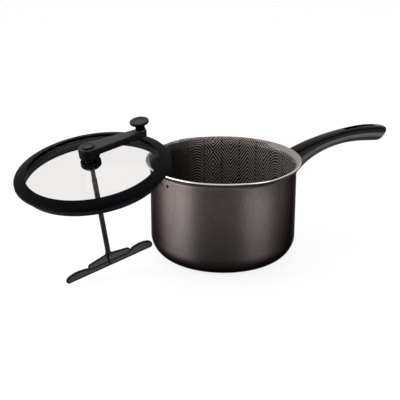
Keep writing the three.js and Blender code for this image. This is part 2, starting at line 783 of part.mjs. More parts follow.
// ---------------------------------------------------------------- assembly
function lidAssembly() {
  const knob = new THREE.Group();
  knob.add(knobSpindle(), knobWasher(), knobBody(), knobCap());
  knob.position.x = armReach;
  const crank = new THREE.Group();
  crank.add(crankArm(), hubScrew(), hubCap(), knob);
  crank.rotation.z = degrees(crankTurn);
  const stirrer = new THREE.Group();
  stirrer.add(stirrerShaft(), stirrerPaddle(), paddlePin());
  stirrer.rotation.z = degrees(stirrerTurn);
  const lid = new THREE.Group();
  lid.add(lidGlass(), lidRim(), gasketUpper(), gasketLower(), shaftBush(), bushNut(), slipWasher());
  lid.add(crank, stirrer);

  // +Z leans over; +X stays as near to the pan's +X as the lean allows.
  const tilt = degrees(lidTilt);
  const heading = degrees(lidHeading);
  const up = new THREE.Vector3(
    Math.sin(tilt) * Math.cos(heading),
    Math.sin(tilt) * Math.sin(heading),
    Math.cos(tilt),
  );
  const right = new THREE.Vector3(1, 0, 0).projectOnPlane(up).normalize();
  const away = new THREE.Vector3().crossVectors(up, right);
  lid.quaternion.setFromRotationMatrix(new THREE.Matrix4().makeBasis(right, away, up));

  // The paddle's foot stands clear of the table and of the pan's wall all the way round its turn.
  const distance = panRadius + standGap + paddleHalfLength;
  const bearing = degrees(standBearing);
  const foot = new THREE.Vector3(
    distance * Math.cos(bearing),
    distance * Math.sin(bearing),
    (paddleHalfLength - 4) * Math.sin(tilt) + floorClearance,
  );
  lid.position.copy(foot).addScaledVector(up, -paddleBottom);
  return lid;
}

const saucepan = new THREE.Group();
saucepan.add(panShell(), handleBracket(), handleGrip(), handleScrew(), lidAssembly());

export default saucepan;
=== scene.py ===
"""Saucepan with a glass lid and a hand-cranked stirrer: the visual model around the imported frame."""
import contextlib
import json
import math

import bmesh
import bpy
from mathutils import Matrix, Vector


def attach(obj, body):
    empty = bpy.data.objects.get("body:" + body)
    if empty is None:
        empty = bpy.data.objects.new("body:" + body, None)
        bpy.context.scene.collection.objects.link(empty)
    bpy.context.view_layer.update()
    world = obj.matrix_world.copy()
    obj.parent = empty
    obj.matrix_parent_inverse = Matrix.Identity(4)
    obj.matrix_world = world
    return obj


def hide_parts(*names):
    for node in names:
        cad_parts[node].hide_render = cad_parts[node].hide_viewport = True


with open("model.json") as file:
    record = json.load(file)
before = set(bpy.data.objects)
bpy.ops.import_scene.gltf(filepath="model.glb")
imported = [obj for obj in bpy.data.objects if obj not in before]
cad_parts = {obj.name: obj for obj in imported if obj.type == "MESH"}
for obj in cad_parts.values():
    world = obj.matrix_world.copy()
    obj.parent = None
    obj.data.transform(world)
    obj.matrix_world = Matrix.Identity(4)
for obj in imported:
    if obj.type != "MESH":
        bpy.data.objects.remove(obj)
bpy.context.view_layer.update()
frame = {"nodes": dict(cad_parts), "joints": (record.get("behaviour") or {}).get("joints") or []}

MM = 0.001
TINY = 1e-6

# ---------- sizes, in millimetres, as in the CAD
GAP = 0.3

PAN_RADIUS = 102.5
PAN_HEIGHT = 140
PAN_WALL = 2
PAN_FLOOR = 2.5
PAN_CORNER = 31
FLARE_HEIGHT = 11
FLARE_SPREAD = 6.3
RIM_EDGE = 2
SPOUT_REACH = 3.2
SPOUT_HALF_ANGLE = math.radians(22)
STEAM_HOLE_RADIUS = 2.6
STEAM_HOLE_DROP = 17.5
STEAM_HOLE_PITCH = 14
STEAM_HOLE_COUNT = 4
FLARE_START = PAN_HEIGHT - FLARE_HEIGHT

BRACKET_THICKNESS = 2
TONGUE_LENGTH = 26
TONGUE_WIDTH = 12
TONGUE_THICKNESS = 7
HANDLE_ROOT_HEIGHT = 109
HANDLE_REACH = 176.2
HANDLE_TIP_RISE = 27.7
ROOT_RISE, ROOT_RUN = 31.7, 41
TAIL_DROP, TAIL_RUN = 12.3, 61.6
ROOT_HALF_HEIGHT, GRIP_HALF_HEIGHT, TAIL_HALF_HEIGHT = 20.5, 10.1, 11.9
ROOT_HALF_WIDTH, GRIP_HALF_WIDTH, TAIL_HALF_WIDTH = 15.5, 12, 13.5
TIP_SLANT = 0.48
SLOT_LENGTH, SLOT_WIDTH, SLOT_INSET = 59, 9, 10
HANDLE_SCREW_RADIUS, HANDLE_SCREW_HEAD = 2, 4
HANDLE_SCREW_OFFSET = 15
GRIP_SCREW_BED = 3

LID_SEAT_DROP = 4.7
FLANGE_THICKNESS = 3.3
RIM_WIDTH = 15.6
RIM_CROWN = 5
RIM_LIP = 2
SKIRT_DEPTH, SKIRT_INSET, SKIRT_TAPER, SKIRT_EDGE = 12, 1, 9.6, 1.2
LOWER_LIP_INSET = 1.6
GLASS_CURVE = 300
GLASS_EDGE_FALL = 2
GLASS_THICKNESS = 4
GLASS_GRIP = 7.5

JOURNAL_RADIUS = 3
BUSH_WALL = 3.4
BUSH_FLANGE_RADIUS, BUSH_FLANGE = 8.8, 2
GASKET = 1.2
NUT_RADIUS, NUT_HEIGHT = 13.5, 10
BUSH_PROTRUSION = 0.6
SLIP_WASHER_RADIUS, SLIP_WASHER = 8.2, 1

ARM_THICKNESS = 8.5
ARM_HUB_RADIUS, ARM_TIP_RADIUS = 13.6, 7.7
HUB_FOOT_RADIUS, HUB_FOOT_WALL, HUB_FOOT_CLEARANCE = 13.5, 1.5, 0.8
HUB_SOCKET_DEPTH = 3.6
HUB_SCREW_RADIUS, HUB_SCREW_HEAD_RADIUS, HUB_SCREW_HEAD = 1.6, 4.2, 2
HUB_CAP_RADIUS, HUB_CAP_HEIGHT = 8, 1.8

KNOB_RADIUS, KNOB_DISC = 12.6, 5
KNOB_NECK_RADIUS, KNOB_NECK = 6.8, 7.6
KNOB_WASHER = 0.8
KNOB_CAP_RADIUS, KNOB_CAP = 8.6, 1.4
SPINDLE_RADIUS, SPINDLE_HEAD_RADIUS, SPINDLE_HEAD, SPINDLE_SEAT = 2.5, 4.4, 1.6, 6.8

FLOAT_TRAVEL, FLOAT_RESERVE = 16.5, 1.7
SHAFT_RADIUS = 3.5
PADDLE_HALF_LENGTH, PADDLE_THICKNESS = 67.6, 3
PADDLE_BAR, PADDLE_WING, PADDLE_WEB = 7.8, 12.4, 18.6
PADDLE_STEP = 33
PADDLE_PITCH = math.radians(6)
SOCKET_RADIUS, SOCKET_FOOT_RADIUS = 4.8, 2.4
TENON_RADIUS, TENON_LENGTH = 1.9, 12
STIRRER_TURN = math.radians(3.7)


# ---------- small maths
def smooth(t):
    t = min(1.0, max(0.0, t))
    return t * t * (3 - 2 * t)


def arc(centre, radius, start, end, steps):
    """Points round a corner, as (radius, height) or (x, y); angles in degrees."""
    points = []
    for i in range(steps + 1):
        angle = math.radians(start + (end - start) * i / steps)
        points.append((centre[0] + radius * math.cos(angle), centre[1] + radius * math.sin(angle)))
    return points


MOST_OF_SIDE = 0.42  # share of a side that the rounding of one corner may take


def rounded(profile, radius, closed=True, steps=3, least_turn=20):
    """The profile with its sharp corners rounded. A profile that isn't closed keeps its two ends."""
    count = len(profile)
    result = []
    for i, here in enumerate(profile):
        if not closed and i in (0, count - 1):
            result.append(here)
            continue
        here = Vector(here)
        back = Vector(profile[i - 1]) - here
        ahead = Vector(profile[(i + 1) % count]) - here
        shortest = min(back.length, ahead.length)
        turn = 180 - math.degrees(back.angle(ahead)) if shortest > TINY else 0
        if turn < least_turn:
            result.append(tuple(here))
            continue
        reach = min(radius * math.tan(math.radians(turn) / 2), MOST_OF_SIDE * shortest)
        start = here + back.normalized() * reach
        end = here + ahead.normalized() * reach
        for k in range(steps + 1):
            t = k / steps
            point = start * (1 - t) ** 2 + here * 2 * t * (1 - t) + end * t ** 2
            result.append(tuple(point))
    return result


# ---------- frames of the moving groups
joints = {joint["name"]: joint for joint in frame["joints"]}
shaft_axis = Vector(joints["crank_turn"]["axis"]).normalized()
lid_origin = Vector(joints["crank_turn"]["pos_m"])
knob_point = Vector(joints["knob_spin"]["pos_m"])


def basis(origin, along, up):
    """From millimetres in a group's own frame to metres in the row frame."""
    right = (along - up * along.dot(up)).normalized()
    away = up.cross(right)
    turn = Matrix((right, away, up)).transposed().to_4x4()
    return Matrix.Translation(origin) @ turn @ Matrix.Scale(MM, 4)


ROW = Matrix.Scale(MM, 4)
LID = basis(lid_origin, Vector((1, 0, 0)), shaft_axis)
CRANK = basis(lid_origin, knob_point - lid_origin, shaft_axis)
STIRRER = LID @ Matrix.Rotation(STIRRER_TURN, 4, "Z")
ARM_REACH = (CRANK.inverted() @ knob_point).x
KNOB = CRANK @ Matrix.Translation((ARM_REACH, 0, 0))


# ---------- shader nodes
def feed(tree, value, socket):
    """Sets a socket to a plain value, or links it to a field or another socket."""
    value = getattr(value, "socket", value)
    if isinstance(value, bpy.types.NodeSocket):
        tree.links.new(value, socket)
    else:
        socket.default_value = (*value, 1) if isinstance(value, tuple) else value


def make_node(tree, kind, inputs=(), **settings):
    """A shader node; inputs says what its sockets are fed with."""
    node = tree.nodes.new("ShaderNode" + kind)
    for key, value in settings.items():
        setattr(node, key, value)
    for key, value in dict(inputs).items():
        feed(tree, value, node.inputs[key])
    return node


MIX_LOW, MIX_HIGH, MIX_RESULT = 6, 7, 2  # a colour Mix node's sockets


class Field:
    """A number that varies over a surface, built up with plain arithmetic."""

    def __init__(self, tree, socket):
        self.tree = tree
        self.socket = socket

    def math(self, operation, *others):
        node = make_node(self.tree, "Math", enumerate((self, *others)), operation=operation)
        return Field(self.tree, node.outputs[0])

    def __add__(self, other):
        return self.math("ADD", other)

    def __sub__(self, other):
        return self.math("SUBTRACT", other)

    def __mul__(self, other):
        return self.math("MULTIPLY", other)

    def __truediv__(self, other):
        return self.math("DIVIDE", other)

    def inverse(self):
        return (self * -1) + 1

    def greater(self, other):
        return self.math("MAXIMUM", other)

    def step(self, low, high):
        """0 below low, 1 above high, smooth between."""
        node = make_node(self.tree, "MapRange", {"Value": self, "From Min": low, "From Max": high},
                         interpolation_type="SMOOTHSTEP")
        return Field(self.tree, node.outputs["Result"])

    def between(self, low, high):
        """A number from low to high, where the field goes from 0 to 1."""
        return self * (high - low) + low

    def mix(self, low, high):
        """A colour from low to high; either may be a colour or another mix."""
        inputs = {0: self, MIX_LOW: low, MIX_HIGH: high}
        return make_node(self.tree, "Mix", inputs, data_type="RGBA").outputs[MIX_RESULT]


def distance_from_axis(x, y):
    return (x * x + y * y).math("SQRT")


def tinted(colour, factor):
    return tuple(part * factor for part in colour)


class Surface:
    """A Principled material with procedural detail, in millimetres of the object's own space."""

    def __init__(self, name, **sockets):
        self.material = bpy.data.materials.new(name)
        self.material.use_nodes = True
        self.tree = self.material.node_tree
        self.shader = self.tree.nodes["Principled BSDF"]
        for key, value in sockets.items():
            self.shader.inputs[key.replace("_", " ")].default_value = value
        self.place = make_node(self.tree, "TexCoord").outputs["Object"]

    def axes(self):
        """X, Y and Z of the point, in millimetres."""
        node = make_node(self.tree, "SeparateXYZ", {0: self.place})
        return [Field(self.tree, output) * 1000 for output in node.outputs]

    def combined(self, *fields):
        return make_node(self.tree, "CombineXYZ", enumerate(fields)).outputs[0]

    def noise(self, size, detail, at=None):
        """Soft noise from 0 to 1 with features of the given size in millimetres."""
        scale = 1000 / size if at is None else 1 / size
        inputs = {"Vector": at or self.place, "Scale": scale, "Detail": detail}
        return Field(self.tree, make_node(self.tree, "TexNoise", inputs).outputs["Fac"])

    def flakes(self, size):
        """A random value from 0 to 1 for every flake."""
        cells = make_node(self.tree, "TexVoronoi", {"Vector": self.place, "Scale": 1000 / size})
        split = make_node(self.tree, "SeparateColor", {0: cells.outputs["Color"]})
        return Field(self.tree, split.outputs[0])

    def drive(self, name, value):
        feed(self.tree, value, self.shader.inputs[name])

    def colour(self, value):
        self.drive("Base Color", value)

    def bump(self, field, height):
        """Raises the surface by height millimetres where the field is 1."""
        inputs = {"Strength": 1.0, "Distance": height * MM, "Height": field}
        self.drive("Normal", make_node(self.tree, "Bump", inputs).outputs[0])


def metallic_paint(name, base, light, metallic, roughness, flake_size=0.45, painted_light_and_shade=None):
    """Coated metal: a dark ground with fine bright flakes and a faint orange peel.

    The last argument holds how light the coating is painted at the foot, at the top of the wall and under
    the flare: painted shade at the foot, painted light at the top of the wall and under the flare.
    """
    surface = Surface(name, Metallic=metallic, Specular_Tint=(0.25, 0.24, 0.23, 1))
    flake = surface.flakes(flake_size).step(0.55, 1.0)
    cloud = surface.noise(9, 3)

    def shade_of(share):
        ground = cloud.mix(tinted(base, 0.92 * share), tinted(base, 1.08 * share))
        return flake.mix(ground, tinted(light, share))

    if painted_light_and_shade:
        # Painted shade towards the foot, painted light at the top of the wall and under the flare.
        foot, top, flare = painted_light_and_shade
        z = surface.axes()[2]
        wall = z.step(0, FLARE_START - 9).mix(shade_of(foot), shade_of(top))
        surface.colour(z.step(FLARE_START - 1, FLARE_START + 5).mix(wall, shade_of(flare)))
    else:
        surface.colour(shade_of(1))
    surface.drive("Roughness", surface.noise(3.5, 2).between(roughness - 0.04, roughness + 0.04))
    surface.bump(surface.noise(1.1, 2), 0.003)
    return surface


def moulded_plastic(name, base, roughness, specular, grain=0.5, height=0.015):
    """Moulded plastic: a fine spark-eroded grain and slight unevenness of shine."""
    surface = Surface(name, Specular_IOR_Level=specular)
    surface.colour(surface.noise(14, 3).mix(tinted(base, 0.85), tinted(base, 1.2)))
    surface.drive("Roughness", surface.noise(5, 3).between(roughness - 0.05, roughness + 0.05))
    surface.bump(surface.noise(grain, 2), height)
    return surface


PAINTED_SHADE_SIDE = math.radians(127)  # painted shade dims the print's lines on the wall this way
PRINT_CLIMB = math.radians(86)  # the print runs furthest up the flare this way,
CLIMB_FULL, CLIMB_END = math.radians(53), math.radians(75)  # this far to either side, and fades out by here
PRINT_COLUMNS = 24
PRINT_PITCH = 4.3  # from line to line, in millimetres
PRINT_SHARE = 0.37  # how much of the pitch a line covers
PRINT_SOFTNESS = 0.08
PRINT_INNER = PAN_RADIUS - PAN_WALL


def toward(x, y, direction):
    """How far a point lies in a direction, seen along the pan's axis."""
    return x * math.cos(direction) + y * math.sin(direction)


def printed_lines(distance, stretch=1.0, share=PRINT_SHARE):
    """1 on the lines and 0 between them, where distance grows across them."""
    wave = (distance / (PRINT_PITCH * stretch)).math("PINGPONG", 0.5) * 2
    return wave.step(1 - share - PRINT_SOFTNESS, 1 - share + PRINT_SOFTNESS)


def print_motif(height, around, reach):
    """Columns of chevrons, nested diamonds and strokes. It is 1 where a line is."""
    width = 2 * math.pi * PRINT_INNER / PRINT_COLUMNS
    along = around / width
    column = along.math("FLOOR")
    # Towards the middle of the floor the columns narrow, and their lines keep their pitch.
    narrow = (reach / PRINT_INNER).math("MINIMUM", 1.0)
    side = (along - column - 0.5).math("ABSOLUTE") * width * narrow
    slope, tall = 1.45, 1.35
    chevron = printed_lines(height - side * slope, tall)
    valley = printed_lines(height + side * slope, tall)
    nest, shift = 36, 8
    nested = ((height + shift) / nest).math("PINGPONG", 0.5) * nest
    diamond = printed_lines(nested * 0.75 + side)
    motif = printed_lines(height + side * side * 0.045)
    # Which motif a column carries, in an order that looks unplanned.
    kind = (column * 0.381 + 0.11).math("FRACT")
    for limit, other in ((0.24, chevron), (0.5, diamond), (0.76, valley)):
        chosen = kind.math("GREATER_THAN", limit)
        motif = motif * chosen.inverse() + other * chosen
    seam = (side - narrow * (width / 2)).step(-0.6, -0.2)
    return motif * seam.inverse()


def pan_inside():
    """Dark non-stick coating printed with fine lines, under a pale flare."""
    surface = Surface("pan_print", Metallic=0.1, Specular_IOR_Level=0.18, Specular_Tint=(0.3, 0.3, 0.3, 1))
    x, y, z = surface.axes()
    reach = distance_from_axis(x, y)
    around = y.math("ARCTAN2", x) * PRINT_INNER

    # Down the wall and on over the floor towards the middle, a little unevenly.
    height = z + reach - PRINT_INNER + (surface.noise(24, 1) - 0.5) * 7
    worn = surface.noise(7, 2).step(0.25, 0.5)
    motif = print_motif(height, around, reach) * worn.between(0.72, 1.0)
    # Painted shade: the print's lines are dimmed on one side of the wall.
    painted_shade_dimming = (toward(x, y, PAINTED_SHADE_SIDE) / reach).step(0.5, 0.92)
    painted_shade_dimming = painted_shade_dimming * z.step(8, 80) * reach.step(PAN_RADIUS - 14, PAN_RADIUS - 5)
    motif = motif * painted_shade_dimming.between(1.0, 0.12)

    # The pale flare; the print runs up on it, further in some places.
    climb = (toward(x, y, PRINT_CLIMB) / reach).step(math.cos(CLIMB_END), math.cos(CLIMB_FULL))
    ragged = surface.noise(26, 1, at=surface.combined(around, z * 0, z * 0)) * 3 + climb * 4.0
    pale = (z - ragged).step(FLARE_START + 2.6, FLARE_START + 4.2)
    ink = surface.noise(2, 2).mix((0.0026, 0.0021, 0.0023), (0.0056, 0.0045, 0.0047))
    printed = motif.mix(ink, (0.47, 0.425, 0.395))
    strokes = printed_lines(z + around * 0.5, 0.7, 0.5) * climb * surface.noise(9, 1).step(0.42, 0.56)
    champagne = surface.flakes(0.4).step(0.3, 1.0).mix((0.36, 0.315, 0.285), (0.50, 0.45, 0.41))
    flare = (strokes * 0.85).mix(champagne, (0.05, 0.04, 0.036))
    surface.colour(pale.mix(printed, flare))
    surface.drive("Roughness", pale.between(0.42, 0.38))
    surface.bump(motif * pale.inverse() + surface.noise(1.2, 2) * 0.3, 0.05)
    return surface


def brushed(name, colour, roughness):
    """Turned metal: fine rings round the pan's axis."""
    surface = Surface(name, Metallic=1.0)
    x, y, z = surface.axes()
    reach = distance_from_axis(x, y)
    ring = surface.noise(0.5, 3, at=surface.combined(reach, z, z * 0))
    surface.colour(ring.mix(tinted(colour, 0.86), colour))
    surface.drive("Roughness", ring.between(roughness - 0.06, roughness + 0.08))
    surface.bump(ring, 0.01)
    return surface


def plain_metal(name, colour, roughness):
    """Bare metal with faint streaks of shine."""
    surface = Surface(name, Metallic=1.0)
    streak = surface.noise(1.6, 4)
    surface.colour(streak.mix(tinted(colour, 0.85), colour))
    surface.drive("Roughness", streak.between(roughness - 0.05, roughness + 0.07))
    surface.bump(surface.noise(0.3, 2), 0.006)
    return surface


def clear_glass():
    """Slightly grey, uneven glass. Its low index keeps reflections of the surround off what lies behind."""
    surface = Surface("lid_glass", Roughness=0.0, IOR=1.05, Metallic=0.012, Transmission_Weight=1.0)
    cloud = surface.noise(60, 2)
    surface.colour(cloud.mix((0.813, 0.805, 0.794), (0.828, 0.820, 0.810)))
    surface.bump(surface.noise(45, 1), 0.002)
    return surface


# The pan's outside carries painted shade at its foot and painted light at the top of its wall and under the
# flare.
EXTERIOR = metallic_paint("pan_coating", (0.0330, 0.0280, 0.0270), (0.060, 0.052, 0.050), 1.0, 0.35,
                          painted_light_and_shade=(0.54, 1.34, 4.5))
INTERIOR = pan_inside()
# A darker copy of the coating for the steam holes' bores: painted shade in the holes.
HOLE_PAINTED_SHADE = metallic_paint("hole_bore_painted_shade", (0.010, 0.009, 0.009), (0.018, 0.016, 0.016), 0.5, 0.50)
RIM = brushed("rim_polished", (0.62, 0.59, 0.56), 0.26)
PHENOLIC_TOP = moulded_plastic("phenolic_gloss", (0.0010, 0.0010, 0.0018), 0.13, 0.055, 0.9, 0.002)
PHENOLIC_SIDE = moulded_plastic("phenolic_satin", (0.0026, 0.0026, 0.0036), 0.30, 0.36, 0.5, 0.005)
PHENOLIC_RECESS = moulded_plastic("phenolic_recess", (0.0008, 0.0008, 0.0010), 0.60, 0.03, 0.5, 0.008)
RING = moulded_plastic("ring_plastic", (0.0016, 0.0016, 0.0024), 0.48, 0.02, 0.6, 0.006)
NYLON = moulded_plastic("crank_plastic", (0.0022, 0.0021, 0.0028), 0.48, 0.05, 0.45, 0.012)
# A lighter copy of the crank's plastic for the faces that look along the axis: painted light on the tops.
NYLON_PAINTED_TOP_LIGHT = moulded_plastic("crank_plastic_painted_top_light", (0.0170, 0.0167, 0.0184), 0.46, 0.19, 0.45, 0.014)
# A darker copy of the plastic for the knob's sides and neck: painted shade under its disc.
KNOB_PAINTED_SIDE_SHADE = moulded_plastic("knob_plastic_painted_side_shade", (0.0008, 0.0008, 0.0012), 0.55, 0.012, 0.45, 0.010)
PADDLE = moulded_plastic("paddle_plastic", (0.0185, 0.0185, 0.0195), 0.46, 0.24, 0.45, 0.015)
# A darker copy of the paddle's plastic for its edges and a border round its faces: painted shade.
PADDLE_PAINTED_EDGE_SHADE = moulded_plastic("paddle_painted_edge_shade", (0.0022, 0.0022, 0.0026), 0.50, 0.05, 0.45, 0.010)
RUBBER = moulded_plastic("seal_rubber", (0.008, 0.008, 0.009), 0.62, 0.25, 0.4, 0.03)
COATED_STEEL = metallic_paint("shaft_coating", (0.009, 0.009, 0.010), (0.025, 0.025, 0.027), 0.5, 0.38, 0.3)
STEEL = plain_metal("steel", (0.62, 0.61, 0.60), 0.28)
# A darker copy of the steel. On the knob's washer it is painted shade under the knob's disc; the paddle's
# pin has it too.
DARK_STEEL = plain_metal("steel_darkened", (0.070, 0.070, 0.072), 0.40)
GLASS = clear_glass()


# ---------- mesh helpers
SHARP = 32  # degrees; an edge that turns by more is a real corner
BEVEL_SHARP = 40  # the same, once the edges are rounded


def add_object(name, data):
    obj = bpy.data.objects.new(name, data)
    bpy.context.scene.collection.objects.link(obj)
    return obj


@contextlib.contextmanager
def editing(mesh):
    shell = bmesh.new()
    shell.from_mesh(mesh)
    yield shell
    shell.to_mesh(mesh)
    shell.free()


def face_outward(mesh):
    with editing(mesh) as shell:
        bmesh.ops.recalc_face_normals(shell, faces=shell.faces)


def shade(mesh, sharp=SHARP):
    """Smooth all over but for the real corners."""
    face_outward(mesh)
    mesh.polygons.foreach_set("use_smooth", [True] * len(mesh.polygons))
    mesh.set_sharp_from_angle(angle=math.radians(sharp))


def make_body(name, vertices, faces, place, finishes):
    """A mesh in the row frame, with its normals out."""
    mesh = bpy.data.meshes.new(name)
    mesh.from_pydata([place @ Vector(v) for v in vertices], [], faces)
    for finish in finishes:
        mesh.materials.append(finish.material)
    face_outward(mesh)
    return add_object(name, mesh)


def make_object(name, vertices, faces, place, finishes, face_finish=None):
    """The same, shaded. face_finish holds which of the finishes each face has."""
    obj = make_body(name, vertices, faces, place, finishes)
    if face_finish:
        obj.data.polygons.foreach_set("material_index", face_finish)
    shade(obj.data)
    return obj


def sides(count, rings=2):
    """Faces between rings of count points, ring by ring."""
    return [(a + i, a + (i + 1) % count, a + (i + 1) % count + count, a + i + count)
            for a in range(0, (rings - 1) * count, count) for i in range(count)]


def prism(count, rings=2):
    """The same, with both ends closed."""
    last = (rings - 1) * count
    return sides(count, rings) + [tuple(reversed(range(count))), tuple(range(last, last + count))]


def is_hollow(profile):
    """Whether a profile keeps off the axis, and so closes on itself."""
    return profile[0][0] > TINY


def lathe_mesh(profile, segments, shape=None):
    """Vertices and faces of a profile turned about Z, face by face round the ring and ring by ring."""
    vertices, rings, faces = [], [], []
    for radius, height in profile:
        around = segments if radius > TINY else 1
        rings.append(range(len(vertices), len(vertices) + around))
        for i in range(around):
            angle = 2 * math.pi * i / segments
            x, y = radius * math.cos(angle), radius * math.sin(angle)
            vertices.append((*(shape(x, y, height) if shape else (x, y)), height))
    following = rings[1:] + rings[:1] if is_hollow(profile) else rings[1:]
    for a, b in zip(rings, following):
        for i in range(max(len(a), len(b))):
            j = (i + 1) % segments
            corners = (a[i % len(a)], b[i % len(b)], b[j % len(b)], a[j % len(a)])
            faces.append(tuple(dict.fromkeys(corners)))  # on the axis two corners are one
    return vertices, faces


def turned(name, profile, place, finish, segments=96, edge=0.3, shape=None):
    """A turned piece with softly rounded edges."""
    if edge:
        profile = rounded(profile, edge, is_hollow(profile))
    return make_object(name, *lathe_mesh(profile, segments, shape), place, [finish])


def helper(vertices, faces, place, finishes=()):
    """A body for combine(), which uses it up."""
    return make_body("helper", vertices, faces, place, finishes)


def rod_helper(radius, bottom, top, place, segments=48, finishes=()):
    profile = [(0, bottom), (radius, bottom), (radius, top), (0, top)]
    return helper(*lathe_mesh(profile, segments), place, finishes)


def combine(obj, others, operation="DIFFERENCE"):
    """Cuts the others out of obj, or joins them to it, one at a time and for good."""
    for other in others:
        modifier = obj.modifiers.new("combine", "BOOLEAN")
        modifier.operation = operation
        modifier.solver = "EXACT"
        modifier.object = other
        apply_modifiers(obj)
        merge(obj)
        mesh = other.data
        bpy.data.objects.remove(other)
        bpy.data.meshes.remove(mesh)


def apply_modifiers(obj):
    """Makes what the piece's modifiers do to its mesh permanent."""
    graph = bpy.context.evaluated_depsgraph_get()
    mesh = bpy.data.meshes.new_from_object(obj.evaluated_get(graph))
    obj.modifiers.clear()
    old = obj.data
    obj.data = mesh
    mesh.name = obj.name
    bpy.data.meshes.remove(old)


def soften(obj, width, segments, angle):
    """Rounds the piece's edges that turn by more than the angle."""
    modifier = obj.modifiers.new("soften", "BEVEL")
    modifier.width = width * MM
    modifier.segments = segments
    modifier.limit_method = "ANGLE"
    modifier.angle_limit = math.radians(angle)
    modifier.use_clamp_overlap = True
    apply_modifiers(obj)
    merge(obj)
    shade(obj.data, BEVEL_SHARP)


def merge(obj):
    """Merges coincident points, which a cut leaves and which would spoil the next one."""
    with editing(obj.data) as shell:
        bmesh.ops.remove_doubles(shell, verts=shell.verts, dist=TINY)
        bmesh.ops.dissolve_degenerate(shell, edges=shell.edges, dist=TINY)


def edge_finish(obj, finish, axis, least=0.9):
    """Gives the faces that don't look along the axis, either way, a finish of their own. With it the crank's
    and knob's tops keep their painted light, and the knob's sides and the paddle's edges get painted shade.
    """
    obj.data.materials.append(finish.material)
    for face in obj.data.polygons:
        if abs(face.normal.dot(axis)) < least:
            face.material_index = len(obj.data.materials) - 1


def axis_of(place, column):
    return place.to_3x3().col[column].normalized()


def settle(obj, body, slot, *nodes):
    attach(obj, body)
    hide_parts(*nodes)


# ---------- camera, lights and floor
CAMERA_PLACE = (-0.71869, -1.17943, 0.58634)
CAMERA_PITCH = math.radians(69.796)
CAMERA_TURN = math.radians(-30)
CAMERA_LENS = 93.27


def make_camera():
    camera = bpy.data.cameras.new("camera")
    camera.lens = CAMERA_LENS
    camera.sensor_width = 36
    camera.clip_start, camera.clip_end = 0.05, 60
    obj = add_object("camera", camera)
    obj.location = CAMERA_PLACE
    obj.rotation_euler = (CAMERA_PITCH, 0, CAMERA_TURN)
    bpy.context.scene.camera = obj


# Soft boxes: azimuth from the camera's side, positive to the right, and elevation in degrees; distance,
# width and height in metres; radiance.
LAMPS = {
    "left_box": (-84, 30, 1.5, 0.7, 1.0, 2.2),
    "right_box": (60, 30, 1.7, 0.8, 1.0, 0.6),
    "top_box": (180, 68, 1.6, 1.2, 0.8, 1.2),
}
LAMP_AIM = Vector((0, 0, 0.08))


def make_lights():
    for name, (azimuth, elevation, distance, width, height, radiance) in LAMPS.items():
        turn = CAMERA_TURN + math.radians(azimuth)
        rise = math.radians(elevation)
        out = Vector((math.sin(turn) * math.cos(rise), -math.cos(turn) * math.cos(rise), math.sin(rise)))
        lamp = bpy.data.lights.new(name, "AREA")
        lamp.shape = "RECTANGLE"
        lamp.size, lamp.size_y = width, height
        lamp.energy = radiance * math.pi * width * height
        obj = add_object(name, lamp)
        obj.location = LAMP_AIM + out * distance
        obj.rotation_euler = out.to_track_quat("Z", "Y").to_euler()


# Soft bands of light round the studio, which only reflections see: azimuth from the camera's side,
# half width and softness in degrees, and how much brighter than the white surround each one is.
STUDIO_BANDS = ((-80, 19, 18, 6.4), (55, 15, 15, 3.0))
# Between which heights of a direction, from -1 straight down to 1 straight up, the bands' feet and tops and
# the ground's darkness fade.
BAND_FOOT, BAND_TOP, GROUND_FADE = (-0.85, -0.42), (0.2, 0.75), (-0.8, -0.32)
GROUND_DARKNESS = 0.7
LIGHT_SHARE = 0.4  # the surround's strength as a light, where what shows of it is 1
MIRROR_CUT = 0.78  # how much of the surround mirror-sharp reflections lose


def ray_kinds(tree):
    """1 for the rays that show the white backdrop; 1 for glossy rays; 1 for mirror-sharp rays."""
    outputs = make_node(tree, "LightPath").outputs
    glossy = Field(tree, outputs["Is Glossy Ray"])
    seen = Field(tree, outputs["Is Camera Ray"]).greater(glossy)
    seen = seen.greater(Field(tree, outputs["Is Transmission Ray"]))
    return seen, glossy, Field(tree, outputs["Is Singular Ray"])


def studio_bands(x, y, z):
    """How much brighter than the white surround each direction is."""
    level = distance_from_axis(x, y).greater(0.001)
    bands = None
    for azimuth, half, soft, extra in STUDIO_BANDS:
        turn = CAMERA_TURN + math.radians(azimuth)
        facing = (x * math.sin(turn) - y * math.cos(turn)) / level
        outer = math.cos(math.radians(half + soft))
        inner = math.cos(math.radians(max(0, half - soft)))
        band = facing.step(outer, inner) * extra
        bands = band if bands is None else bands + band
    return bands * z.step(*BAND_FOOT) * z.step(*BAND_TOP).inverse()


def make_world():
    world = bpy.data.worlds.new("studio")
    world.use_nodes = True
    bpy.context.scene.world = world
    world.cycles.sampling_method = "NONE"
    tree = world.node_tree
    background = tree.nodes["Background"]
    background.inputs["Color"].default_value = (1, 1, 1, 1)
    seen, glossy, sharp = ray_kinds(tree)
    split = make_node(tree, "SeparateXYZ", {0: make_node(tree, "TexCoord").outputs["Generated"]})
    x, y, z = (Field(tree, output) for output in split.outputs)
    # Reflections that look steeply down meet the darker ground close round the object.
    ground = z.step(*GROUND_FADE).inverse() * glossy
    strength = (seen * (1 - LIGHT_SHARE) + LIGHT_SHARE) * (ground * -GROUND_DARKNESS + 1)
    strength = strength + studio_bands(x, y, z) * glossy
    # Mirror-sharp reflections, which only the glass has, are held down as by a polarising filter.
    strength = strength * (sharp * glossy * -MIRROR_CUT + 1)
    feed(tree, strength, background.inputs["Strength"])


FLOOR_REACH = 8
FLOOR_LEVEL = -0.0003  # clear of the foot ring
FLOOR_GREY = 0.3
FLOOR_GLOW, FLOOR_GLOW_UNSEEN = 0.86, 0.18  # to what shows the backdrop, and as a light


